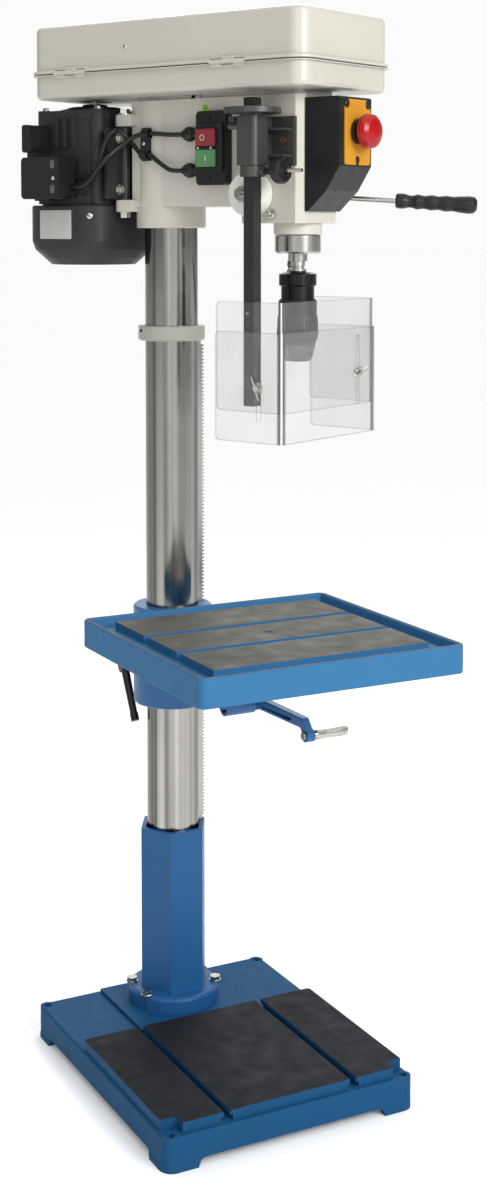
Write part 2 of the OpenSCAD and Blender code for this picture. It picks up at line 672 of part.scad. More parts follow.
module motor_housing() {
    h = motor_half;
    color(black) head_frame() translate([motor_x, motor_y, 0]) difference() {
        union() {
            linear_extrude_between(motor_low + 18, motor_high - 26) rounded(2*h - 4, 2*h - 4, 30);
            linear_extrude_between(motor_low, motor_low + 18) rounded(2*h, 2*h, 32);
            linear_extrude_between(motor_high - 26, motor_high - 10) rounded(2*h, 2*h, 32);
            zcone(motor_high - 10, motor_high - 2, 0, 0, h - 4, 44);
            zcyl(motor_high - 3, motor_high + 3, 0, 0, 22);
            // Cooling fins on the rear half of the left face and round the back
            for (y = fin_rows) block([-h - 4, y - motor_y - 3, 1574], [-h + 6, y - motor_y + 3, 1626]);
            // Bosses of the tie bolts down the four corners
            for (x = [-1, 1], y = [-1, 1]) zcyl(motor_low + 2, motor_high - 9, x*(h - 15), y*(h - 15), 14);
            for (k = [0 : 6]) block([-45 + 15*k, h - 6, motor_low + 24], [-40 + 15*k, h + 4, motor_high - 32]);
            for (k = [0 : 6]) block([h - 6, -45 + 15*k, motor_low + 24], [h + 4, -40 + 15*k, motor_high - 32]);
        }
        zcyl(motor_low + 14, motor_high - 16, 0, 0, 56);
        zcyl(motor_low - 1, motor_high + 10, 0, 0, 9.55);
        for (x = [-50, 50], z = [1500, 1588]) ycyl(-h - 10, -h + 14, x, z, 4);
    }
}

module fan_cowl() {
    w = 2*cowl_half;
    d = w - 9;
    color(black) head_frame() translate([motor_x, motor_y + 5, 0]) difference() {
        union() {
            swept(w, d, 44) polygon([[30, motor_low - 2.6], [30, motor_low - gap], [41, motor_low - gap],
                [43, motor_low - 1.2], [44, motor_low - 4], [44, 1411], [41.6, 1411], [41.6, motor_low - 2.6]]);
            hull() {
                linear_extrude_between(1411, 1412) rounded(w, d, 44);
                linear_extrude_between(1396, 1397) rounded(w - 3, d - 3, 52);
                linear_extrude_between(1382, 1383) rounded(w - 14, d - 14, 70, $fn = 64);
                linear_extrude_between(1370, 1371) rounded(w - 34, d - 32, 70, $fn = 64);
            }
        }
        hull() {
            linear_extrude_between(1411, 1413) rounded(w - 5, d - 5, 41);
            linear_extrude_between(1383, 1384) rounded(w - 19, d - 19, 68, $fn = 64);
            linear_extrude_between(1373, 1374) rounded(w - 38, d - 36, 68, $fn = 64);
        }
        translate([0, 0, 1360]) for (ring = [0 : 2], k = [0 : 11 + 4*ring]) rotate([0, 0, 360/(12 + 4*ring)*k])
            translate([24 + 16*ring, 0, 0]) cylinder(h = 16, r = 4.5, $fn = 16);
    }
}

// Lower box with its overhanging cover and cable plate, and the narrow upper box behind it
module terminal_boxes() {
    x = motor_x - motor_half;
    depth = 54 - gap;
    color(black) head_frame() {
        translate([x, 171, 1520]) rotate([0, -90, 0]) {
            translate([0, 0, gap]) linear_extrude(depth - 20) rounded(66, 82, 6);
            translate([0, 0, depth - 20]) linear_extrude(20) rounded(72, 88, 8);
        }
        block([x - 40, 160, 1481], [x - 16, 196, 1490]);
        translate([x, 205.5, 1588.5]) rotate([0, -90, 0]) translate([0, 0, gap]) linear_extrude(50) rounded(48, 20, 5);
        block([x - 46, 194.5, 1572], [x - 12, 200, 1605]);
        block([x - 40, 197, 1550], [x - 6, 213, 1568]);
    }
}

module rotor() {
    color(steel) head_frame() translate([motor_x, motor_y, 0]) {
        zcyl(1440, 1752, 0, 0, 9.5);
        zcyl(motor_low + 34, motor_high - 36, 0, 0, 52);
    }
}

module cooling_fan() {
    color(dark) head_frame() translate([motor_x, motor_y, 0]) difference() {
        union() {
            zcyl(1430, 1462, 0, 0, 20);
            zcyl(1458, 1461, 0, 0, 70);
            for (k = [0 : 7]) rotate([0, 0, 45*k]) block([15, -1.2, 1432], [70, 1.2, 1459]);
        }
        zcyl(1439.9, 1470, 0, 0, 9.5);
    }
}

module motor_pulley() {
    color("darkgray") head_frame() translate([motor_x, motor_y, 0]) step_pulley(motor_steps, 9.5, 16);
}

// Idler between the two belts

module idler_arm() {
    color(steel) head_frame() {
        zcyl(1600, guard_z + 5, idler_pivot[0], idler_pivot[1], 8);
        hull() {
            zcyl(guard_z + 4, guard_z + 9, idler_pivot[0], idler_pivot[1], 12, $fn = 32);
            zcyl(guard_z + 4, guard_z + 9, idler_x, idler_y, 12, $fn = 32);
        }
        zcyl(guard_z + 8, 1758, idler_x, idler_y, 8.5);
    }
}

module idler_pulley() {
    color("darkgray") head_frame() translate([idler_x, idler_y, 0]) step_pulley(idler_steps, 8.5 + fit, 16);
}

spline = [for (k = [0 : 5], q = [[9.6, -18], [11.8, -10], [11.8, 10], [9.6, 18]]) polar(q[0], 60*k + q[1])];
module spline_outline(grow) { offset_polygon(grow) polygon(spline); }
module offset_polygon(grow) { scale([1 + grow/11, 1 + grow/11]) children(); }

module spindle_pulley() {
    color("darkgray") head_frame() translate([0, sy, 0]) difference() {
        union() {
            step_pulley(spindle_steps, 6, 26);
            zcyl(1622, pulley_low, 0, 0, 17);
            zcyl(1622, 1652, 0, 0, 27.5);
        }
        translate([0, 0, 1600]) linear_extrude(200) spline_outline(0.25);
    }
}

module drive_belts() {
    a = [motor_x, motor_y];
    b = [idler_x, idler_y];
    c = [0, sy];
    color([0.12, 0.11, 0.1]) head_frame() {
        v_belt(a, motor_steps[drive_level], b, idler_steps[drive_level], pulley_low + (drive_level + 0.5)*step_h);
        v_belt(b, idler_steps[spindle_level], c, spindle_steps[spindle_level],
            pulley_low + (spindle_level + 0.5)*step_h);
    }
}

// Quill, spindle and chuck

quill_teeth = 22;
quill_phase = feed_z - 1.5*PI*tooth_module;
module quill() {
    pitch = PI*tooth_module;
    color(steel) head_frame() difference() {
        zcyl(quill_bottom, quill_top, 0, sy, quill_r);
        zcyl(quill_bottom - 1, quill_top + 1, 0, sy, 20);
        zcyl(quill_bottom - 1, quill_bottom + 16, 0, sy, 26);
        zcyl(quill_top - 16, quill_top + 1, 0, sy, 26);
        // Tooth gaps of the rack down the quill's back
        for (k = [0 : quill_teeth - 1]) translate([0, sy + quill_r - tooth_module, quill_phase + k*pitch])
            rotate([90, 0, 90]) translate([0, 0, -20]) linear_extrude(40)
                polygon([[-2.4, -0.75], [2.2, -2.4], [2.2, 2.4], [-2.4, 0.75]]);
    }
}

module quill_collar() {
    color("lightgray") head_frame() translate([0, sy, 0]) rotate_extrude()
        polygon([[16.4, collar_low], [36, collar_low], [38, collar_low + 3], [38, quill_bottom - 3], [37, quill_bottom - 0.5],
            [31, quill_bottom - 0.5], [31, quill_bottom], [26, quill_bottom], [26, collar_low + 6], [16.4, collar_low + 6]]);
}

module quill_bearings() {
    color(steel) head_frame() translate([0, sy, 0]) for (z = [quill_bottom, quill_top - 15])
        rotate_extrude() polygon([[12.5 + fit, z], [17, z], [17, z + 1.5], [21, z + 1.5], [21, z], [26, z], [26, z + 15],
            [21, z + 15], [21, z + 13.5], [17, z + 13.5], [17, z + 15], [12.5 + fit, z + 15]]);
}

module spindle() {
    color(steel) head_frame() translate([0, sy, 0]) difference() {
        union() {
            zcyl(nose_z, collar_low + 7, 0, 0, 16);
            zcyl(collar_low + 6, quill_bottom - 0.6, 0, 0, 15);
            zcyl(quill_bottom - 1, quill_top - 2, 0, 0, 12.5);
            translate([0, 0, quill_top - 3]) linear_extrude(1762 - quill_top + 3) polygon(spline);
        }
        zcone(nose_z - 1, nose_z + 80, 0, 0, 12.04, 9.6);
    }
}

module chuck_body() {
    color("gray") head_frame() translate([0, sy, 0]) difference() {
        union() {
            zcone(nose_z - 4, nose_z + 76, 0, 0, 12, 9.6);
            rotate_extrude() polygon([[0, nose_z - 3], [12, nose_z - 3], [12, 1372], [10.4, 1371], [10.4, 1369],
                [14, 1368], [14, chuck_top], [25, chuck_top], [31, chuck_top - 3], [31, 1341], [29, neck_top],
                [neck_r, neck_top], [neck_r, neck_low], [24, neck_low], [24, 1245], [28.5, 1245], [30, 1243],
                [24.5, 1221], [21, chuck_tip + 1], [20, chuck_tip], [0, chuck_tip]]);
        }
        for (k = [0 : 2]) rotate([0, 0, 120*k]) jaw_bar(0.3, -14, 82);
        zcone(chuck_tip - 1, chuck_tip + 6, 0, 0, 12, 8);
        zcyl(chuck_tip - 1, 1300, 0, 0, 8.5);
        for (k = [0 : 23]) rotate([0, 0, 15*k]) translate([31.4, 0, 1343]) cylinder(h = 12, r = 1.2, $fn = 8);
    }
}

// One jaw's bar, leaning out from the tip; z counts along the jaw from its lower end
module jaw_bar(grow, z0, z1) {
    g = grow;
    translate([0, 0, chuck_tip + 3]) rotate([0, jaw_tilt, 0]) translate([0, 0, z0]) linear_extrude(z1 - z0)
        polygon([[-8, -4.5 - g], [6 + g, -4.5 - g], [6 + g, 4.5 + g], [-8, 4.5 + g]]);
}
// The bar with its gripping face cut to a wedge parallel to the spindle
module chuck_jaw(k) {
    color(steel) head_frame() translate([0, sy, 0]) rotate([0, 0, 120*k]) intersection() {
        jaw_bar(0, 0, 42);
        translate([jaw_rest, 0, chuck_tip - 2]) linear_extrude(80) polygon([[0, 0], [30, 17.3*3], [30, -17.3*3]]);
    }
}

// Grip sleeve: a plain band with a spanner hole over a swelling knurled grip
module chuck_sleeve() {
    color(dark) head_frame() translate([0, sy, 0]) difference() {
        rotate_extrude() polygon([[24 + fit, 1246], [30.5, 1246], [33.6, 1256], [34.4, 1261], [33.1, 1290],
            [31.8, 1291.5], [31.8, 1314], [29.5, neck_low - gap], [24 + fit, neck_low - gap]]);
        for (k = [0 : 35]) rotate([0, 0, 10*k]) translate([34.6, 0, 1259]) rotate([0, -2.6, 0])
            cylinder(h = 28, r = 0.8, $fn = 8);
        rotate([0, 0, spanner_angle]) xcyl(27, 40, 0, 1304, 3.2);
    }
}

// Quill feed

module feed_shaft() {
    color(steel) head_frame() difference() {
        union() {
            xcyl(-54, -13, feed_y, feed_z, 10);
            translate([-13.5, feed_y, feed_z]) rotate([90, 0, 90]) linear_extrude(27) rotate(-180)
                gear_outline(tooth_module, pinion_teeth, 0.3);
            xcyl(-13.5, 14, feed_y, feed_z, 12);
            xcyl(13, 19, feed_y, feed_z, 14);
            xcyl(18, 58, feed_y, feed_z, 18);
            xcyl(56, 92, feed_y, feed_z, 9);
            xcyl(-104, -50, feed_y, feed_z, 6.5);
            translate([-97, feed_y, feed_z]) rotate([0, 90, 0]) hexagon(22, 9);
        }
        xcyl(-105, -100, feed_y, feed_z, 2.5);
    }
}

feed_angles = [-4, 116, -124];
// Turns its children so that +Z points along a handle: forward at angle 0, splayed outwards
module along_handle(angle) {
    translate([84, feed_y, feed_z]) rotate([-angle, 0, 0]) rotate([90, 0, 0]) rotate([0, rod_splay, 0]) children();
}
module feed_hub() {
    color(black) head_frame() difference() {
        union() {
            translate([58.6, feed_y, feed_z]) rotate([0, 90, 0]) rotate_extrude()
                polygon([[9, 0], [30, 0], [30, 12], [26, 14], [26, 32], [20, 42], [10, 44], [0, 44], [0, 38], [9, 38]]);
            for (a = feed_angles) along_handle(a) translate([0, 0, 14]) cylinder(h = 22, r = 10);
        }
        for (a = feed_angles) along_handle(a) translate([0, 0, 22]) cylinder(h = 30, r = 5);
        xcyl(50, 93, feed_y, feed_z, 9 + eps);
    }
}
module feed_rods() {
    color(steel) head_frame() for (a = feed_angles) along_handle(a) {
        translate([0, 0, 23]) cylinder(h = 140, r = 5);
        translate([0, 0, 36]) cylinder(h = 4, r = 7);
    }
}
module feed_grips() {
    color(black) head_frame() for (a = feed_angles) along_handle(a) translate([0, 0, 154]) difference() {
        rotate_extrude() polygon([[0, 0], [10, 0], [13, 3], [13, 14], [10.5, 22], [10.5, 28], [13, 36], [11, 48],
            [13.2, 60], [11.5, 72], [13.6, 84], [12.4, 96], [14, 108], [15, 122], [14, 131], [9, 136], [0, 137]]);
        translate([0, 0, -1]) cylinder(h = 11, r = 5);
    }
}

module spring_cap() {
    color(cream) head_frame() translate([-56.2, feed_y, feed_z]) rotate([0, -90, 0]) rotate_extrude()
        polygon([[33.5, 0], [35.5, 0], [35.5, 24], [33.5, 27], [7.5, 27], [7.5, 25], [32, 25], [33.5, 23]]);
}

// Flat clock spring: a spiral strip from the shaft out to the cap
module return_spring() {
    turns = 6;
    steps = 20*turns;
    function coil(i, side) = polar(9 + 23*i/steps + side*0.4, 18*i);
    color(steel) head_frame() translate([-60, feed_y, feed_z]) rotate([0, -90, 0]) linear_extrude(18)
        polygon(concat([for (i = [0 : steps]) coil(i, -1)], [for (i = [steps : -1 : 0]) coil(i, 1)]));
}

// Electrics

switch_y = -145;
switch_z = 1566;
module switch_box() {
    color(black) head_frame() difference() {
        union() {
            translate([-56, switch_y, switch_z]) rotate([0, -90, 0]) linear_extrude(17) rounded(122, 62, 8);
            translate([-72, switch_y, switch_z]) rotate([0, -90, 0]) linear_extrude(6) rounded(80, 56, 5);
            for (z = gland_z) ycyl(switch_y + 30.5, switch_y + 37, gland_x, z, 7);
            block([-80.5, switch_y - 12, switch_z - 1.6], [-77, switch_y + 27, switch_z + 1.6]);
        }
        for (z = [1583, 1549]) block([-80, -160.4, z - 14.4], [-66, -119.6, z + 14.4]);
        for (z = [switch_z + 50, switch_z - 50]) xcyl(-75, -70, switch_y, z, 3);
    }
}
module button(z, proud) {
    head_frame() block([-78 - proud, -160, z - 14], [-70, -120, z + 14]);
}
module stop_button() { color("red") button(1583, 4); }
module start_button() { color("green") button(1549, 3); }

module switch_leads() {
    color(black) head_frame() {
        tube(upper_lead, lead_r);
        tube(lower_lead, lead_r);
    }
}

// Cable glands on the switch box and the saddle that holds both leads to the casting
gland_z = [1590, 1530];
module lead_fittings() {
    color(black) head_frame() {
        for (z = gland_z) translate([gland_x, -108, z]) rotate([-90, 0, 0]) rotate_extrude()
            polygon([[0, 0], [8, 0], [11, 3], [12.5, 8], [12.5, 13], [10, 19], [6, 23], [5.5, 26], [0, 26]]);
        difference() {
            union() {
                block([saddle_x, -6, 1548], [-58, 10, 1604]);
                for (q = saddles) ycyl(q[0] - 7, q[0] + 7, saddle_x, q[1], 8.5);
                block([saddle_x - 6, -6, 1562], [saddle_x, 8, 1591]);
            }
            zcyl(1540, 1610, 0, 0, 60 + fit);
            for (q = saddles) ycyl(q[0] - 12, q[0] + 12, saddle_x, q[1], lead_r + 2);
        }
    }
}

box_half = 45.5;
estop_x = 2.7;
estop_z = 1588;
collar_neck = 15;
module estop_box() {
    color(black) head_frame() difference() {
        union() {
            translate([box_half, 0, 0]) rotate([90, 0, -90]) linear_extrude(2*box_half)
                polygon([[316.2, 1462], [322, 1461], [358, 1494], [383, 1533], [383, 1641], [381, 1643], [316.2, 1643]]);
            // Collar round the stop button, clamped through the plate
            ycyl(-392.4, -385.8, estop_x, estop_z, 20.5);
            ycyl(-386, -382, estop_x, estop_z, collar_neck - fit);
        }
        translate([box_half - 3, 0, 0]) rotate([90, 0, -90]) linear_extrude(2*box_half - 6)
            polygon([[310, 1466], [321, 1465], [355, 1496], [380, 1534], [380, 1640], [310, 1640]]);
        ycyl(-400, -370, estop_x, estop_z, 11.2);
    }
}
// Plate with a notch round each of the box's three screws
module estop_plate() {
    color("orange") head_frame() difference() {
        translate([estop_x, -383.1, estop_z - 1]) rotate([90, 0, 0]) linear_extrude(2.5) rounded(72, 104, 5);
        ycyl(-390, -370, estop_x, estop_z, collar_neck);
        for (x = [-1, 1]) {
            ycyl(-390, -380, estop_x + 30*x, estop_z + 44, 8);
            translate([estop_x + 36*x, -385, estop_z + 50]) cube([12, 12, 12], center = true);
        }
        ycyl(-390, -380, estop_x, estop_z - 45, 6.5);
        translate([estop_x, -385, estop_z - 50]) cube([9, 12, 10], center = true);
    }
}
module estop_button() {
    color("red") head_frame() translate([estop_x, -376, estop_z]) rotate([90, 0, 0]) rotate_extrude()
        polygon([[0, 0], [11, 0], [11, 22.4], [20, 23], [26.5, 25], [28, 28], [28, 33], [26, 39], [20, 43.5], [10, 46], [0, 46.5]]);
}

// Chuck guard

module guard_bracket() {
    color(black) head_frame() difference() {
        union() {
            block([-63, -307, 1534], [-55.2, -245, 1613]);
            block([-63, -307, 1534], [-58, -303, 1613]);
            for (z = [1548, 1590]) block([-84, -303, z], [-60, -240, z + 4]);
            block([-86, -262, 1534], [-60, -246, 1613]);
            translate([post_x, post_y, 0]) linear_extrude_between(1534, 1613) rounded(41, 41, 9);
            ycyl(post_y + 16, post_y + 46, post_x, 1598, 5.5);
            zcyl(1604, 1613, post_x, post_y + 38, 8);
        }
        zcyl(1500, 1640, post_x, post_y, post_r + fit);
        xcyl(-70, -50, -290, 1575, 4);
    }
    color("goldenrod") head_frame() xcyl(-66, -55.3, -290, 1575, 3.9);
}

module guard_pivot() {
    color(black) head_frame() difference() {
        union() {
            zcyl(1617, 1626, post_x, post_y, 46);
            zcyl(1516, 1618, post_x, post_y, post_r);
            zcyl(1613 + gap, 1618, post_x, post_y, 20);
            zcyl(1516, 1534 - gap, post_x, post_y, 19.5);
            ycyl(post_y - 26, post_y - 10, post_x, 1525, 7);
        }
        translate([post_x, post_y, 0]) linear_extrude_between(1500, 1640) square([bar + 0.6, bar + 0.6], center = true);
        translate([post_x + 42, post_y + 18, 1610]) cylinder(h = 30, r = 6);
        ycyl(-300, post_y, post_x, 1525, 3 + fit);
    }
}

module guard_bar() {
    color(black) head_frame() difference() {
        translate([post_x, post_y, 0]) linear_extrude_between(bar_low, bar_high) square([bar, bar], center = true);
        for (z = [1178, 1298]) xcyl(post_x - 12, post_x - 2, post_y, z, 2.5);
    }
}

// Hand knob with its screw and a thin cross rod
module guard_knob() {
    color(black) head_frame() {
        ycyl(-310, post_y - bar/2 - 0.3, post_x, 1525, 3);
        translate([post_x, -288, 1525]) rotate([90, 0, 0]) rotate_extrude()
            polygon([[0, 0], [7, 0], [9, 6], [19, 14], [21, 18], [21, 27], [18, 31], [14, 31], [12, 28], [0, 28]]);
        ycyl(-352, -310, post_x, 1525, 2.6);
    }
}

// Folded sheet on three sides: left, front and right, bent round the two front corners
module folded(x0, x1, f, r) {
    translate([x0 + r, f]) square([x1 - x0 - 2*r, panel_back - f]);
    translate([x0, f + r]) square([x1 - x0, panel_back - f - r]);
    for (x = [x0 + r, x1 - r]) translate([x, f + r]) circle(r);
}
module panel(out, low, high, slots) {
    x0 = panel_x0 - out;
    x1 = panel_x1 + out;
    f = panel_front - out;
    t = panel_t;
    color([0.8, 0.83, 0.85, 0.4]) head_frame() difference() {
        linear_extrude_between(low, high) difference() {
            folded(x0, x1, f, bend_r + out);
            translate([0, t + eps]) folded(x0 + t, x1 - t, f, bend_r + out - t);
            translate([x0 + t, panel_back - 10]) square([x1 - x0 - 2*t, 20]);
        }
        for (q = slots) {
            if (q[2] == "left") hull() for (z = [q[1], q[3]]) xcyl(x0 - 1, x0 + t + 1, q[0], z, 3.2, $fn = 24);
            if (q[2] == "front") hull() for (z = [q[1], q[3]]) ycyl(f - 1, f + t + 1, q[0], z, 3.2, $fn = 24);
        }
        for (q = [[low, 1], [high, -1]]) translate([x0 - 1, panel_back, q[0]]) rotate([90, 0, 90])
            linear_extrude(x1 - x0 + 2) round_off(q[1]);
    }
}
// What is cut off to round a sheet's free corner
module round_off(up) {
    difference() {
        translate([-corner_r, up > 0 ? -1 : -corner_r]) square([corner_r + 1, corner_r + 1]);
        translate([-corner_r, up*corner_r]) circle(corner_r);
    }
}
module upper_panel() {
    panel(0, panel_low, panel_top, [[-278, 1179, "left", 1179], [98, 1194, "front", 1194],
        [post_y, 1178, "left", 1178], [post_y, 1298, "left", 1298]]);
}
module lower_panel() {
    panel(panel_t + gap, outer_low, outer_top, [[-278, 1128, "left", 1240], [98, 1143, "front", 1252]]);
}
// Wing screws through the slots, and the two screws that hold the upper panel to the bar
module wing_nuts() {
    color(steel) head_frame() {
        translate([panel_x0 - panel_t - 2*gap, -278, 1179]) rotate([0, -90, 0]) wing();
        translate([98, panel_front - panel_t - 2*gap, 1194]) rotate([90, 0, 0]) wing();
        for (z = [1178, 1298]) xcyl(panel_x0, post_x - bar/2 + 8, post_y, z, 2.4);
    }
}
module wing() {
    translate([0, 0, -panel_t*2 - 2]) cylinder(h = 14, r = 2.9);
    cylinder(h = 1.2, r = 9);
    translate([0, 0, 1.2]) cylinder(h = 7, r1 = 6.5, r2 = 5);
    for (a = [20, 200]) rotate([0, 0, a]) block([3, -1.3, 2], [20, 1.3, 9]);
}

base();
pedestal();
flange_bolts();
column();
column_ring();
rack();
table_bracket();
table();
table_bolts();
clamp_lever();
lift_gear();
crank_shaft();
crank_arm();
crank_grip();
head_casting();
lug_bolts();
guard_tray();
guard_hinges();
guard_lid();
motor_plate();
motor_housing();
fan_cowl();
terminal_boxes();
rotor();
cooling_fan();
motor_pulley();
idler_arm();
idler_pulley();
spindle_pulley();
drive_belts();
quill();
quill_collar();
quill_bearings();
spindle();
chuck_body();
chuck_sleeve();
chuck_jaw(0);  // chuck_jaw_1
chuck_jaw(1);  // chuck_jaw_2
chuck_jaw(2);  // chuck_jaw_3
feed_shaft();
feed_hub();
feed_rods();
feed_grips();
spring_cap();
return_spring();
switch_box();
stop_button();
start_button();
switch_leads();
lead_fittings();
estop_box();
estop_plate();
estop_button();
guard_bracket();
guard_pivot();
guard_bar();
guard_knob();
upper_panel();
lower_panel();
wing_nuts();
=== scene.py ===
"""Looks of a floor-standing pillar drill: finishes, fittings, studio and camera round its frame."""
from __future__ import annotations

import json
import logging
import math
from collections.abc import Callable
from dataclasses import dataclass, replace
from enum import Enum

import bmesh
import bpy
from mathutils import Matrix, Vector

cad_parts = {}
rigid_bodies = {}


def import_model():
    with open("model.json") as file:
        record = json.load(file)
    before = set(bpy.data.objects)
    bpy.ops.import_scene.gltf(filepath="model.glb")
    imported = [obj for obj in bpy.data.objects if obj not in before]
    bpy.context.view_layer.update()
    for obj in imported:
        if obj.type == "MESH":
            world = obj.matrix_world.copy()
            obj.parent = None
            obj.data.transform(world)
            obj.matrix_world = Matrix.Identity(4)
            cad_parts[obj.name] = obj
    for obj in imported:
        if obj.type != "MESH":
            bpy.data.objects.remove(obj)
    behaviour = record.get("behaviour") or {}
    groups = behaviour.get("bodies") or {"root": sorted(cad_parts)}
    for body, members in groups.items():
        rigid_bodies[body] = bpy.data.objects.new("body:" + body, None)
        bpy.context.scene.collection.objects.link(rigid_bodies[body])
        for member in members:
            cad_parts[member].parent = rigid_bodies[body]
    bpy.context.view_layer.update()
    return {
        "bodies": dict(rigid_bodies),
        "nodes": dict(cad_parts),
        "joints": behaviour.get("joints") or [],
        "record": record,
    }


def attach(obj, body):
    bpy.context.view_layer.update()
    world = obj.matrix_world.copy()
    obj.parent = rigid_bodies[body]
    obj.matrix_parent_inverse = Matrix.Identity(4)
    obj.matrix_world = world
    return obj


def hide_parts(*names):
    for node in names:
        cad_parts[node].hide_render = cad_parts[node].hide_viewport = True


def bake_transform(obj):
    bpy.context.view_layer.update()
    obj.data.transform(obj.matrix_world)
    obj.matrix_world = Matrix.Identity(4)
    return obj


LOG = logging.getLogger("pillar_drill")
MM = 0.001
Colour = tuple[float, float, float]
Point = tuple[float, float, float]
Profile = tuple[tuple[float, float], ...]
Socket = bpy.types.NodeSocket

LEFT: Point = (-1.0, 0.0, 0.0)
RIGHT: Point = (1.0, 0.0, 0.0)
FRONT: Point = (0.0, -1.0, 0.0)
UP: Point = (0.0, 0.0, 1.0)

NOISE_BAND = (0.3, 0.7)
ROUNDING_SAMPLES = 4
MARKS_DEPTH = 0.0001
MARKS_SMOOTH = 0.8
MARKS_ROUGH = 1.25
MIX_NUMBERS = (2, 3)
MIX_COLOURS = (6, 7)
MIXED_NUMBER = 0
MIXED_COLOUR = 2
CORNER_STEPS = 6


class Slot(Enum):
    """Material slots that the record names."""

    BLUE = "blue_paint"
    CREAM = "cream_paint"
    BLACK = "black_paint"
    STEEL = "bright_steel"
    PLATED = "plated_steel"
    DARK = "dark_steel"
    ALLOY = "pulley_alloy"
    PLASTIC = "black_plastic"
    RED = "red_plastic"
    GREEN = "green_plastic"
    YELLOW = "yellow_plastic"
    CLEAR = "clear_plastic"
    RUBBER = "belt_rubber"


class Cut(Enum):
    """Which way the tool marks of a metal run, as the marks' density along X, Y and Z."""

    TURNED = (3.0, 3.0, 1400.0)
    GROUND = (500.0, 500.0, 6.0)
    CAST = (260.0, 260.0, 260.0)


def rgba(value: object) -> object:
    """A colour with its alpha, or a socket as it is."""
    return value if isinstance(value, Socket) else (*value, 1.0)


def toned(colour: Colour, factor: float) -> Colour:
    """A colour made darker or lighter, up to white."""
    return tuple(min(1.0, part * factor) for part in colour)


class Nodes:
    """A node tree that is built step by step."""

    def __init__(self, tree: bpy.types.NodeTree) -> None:
        """Keeps the tree that the nodes go into."""
        self.tree = tree

    def node(self, kind: str, inputs: dict | None = None, **settings: object) -> bpy.types.Node:
        """Adds a node.

        Args:
            kind: The node's type name.
            inputs: Values or sockets for its inputs, by name or index.
            **settings: Properties of the node itself.

        Returns:
            The new node.
        """
        made = self.tree.nodes.new(kind)
        for key, value in settings.items():
            setattr(made, key, value)
        for key, value in (inputs or {}).items():
            if isinstance(value, Socket):
                self.tree.links.new(value, made.inputs[key])
            else:
                made.inputs[key].default_value = value
        return made

    def maths(self, operation: str, a: object, b: object = 0.0) -> Socket:
        """One Math node."""
        return self.node("ShaderNodeMath", {0: a, 1: b}, operation=operation).outputs[0]

    def spread(self, value: Socket, low: float, high: float, to_low: object = 0.0,
               to_high: object = 1.0) -> Socket:
        """Maps a value from low..high to to_low..to_high, clamped."""
        return self.node("ShaderNodeMapRange", {"Value": value, "From Min": low, "From Max": high,
                         "To Min": to_low, "To Max": to_high}).outputs["Result"]


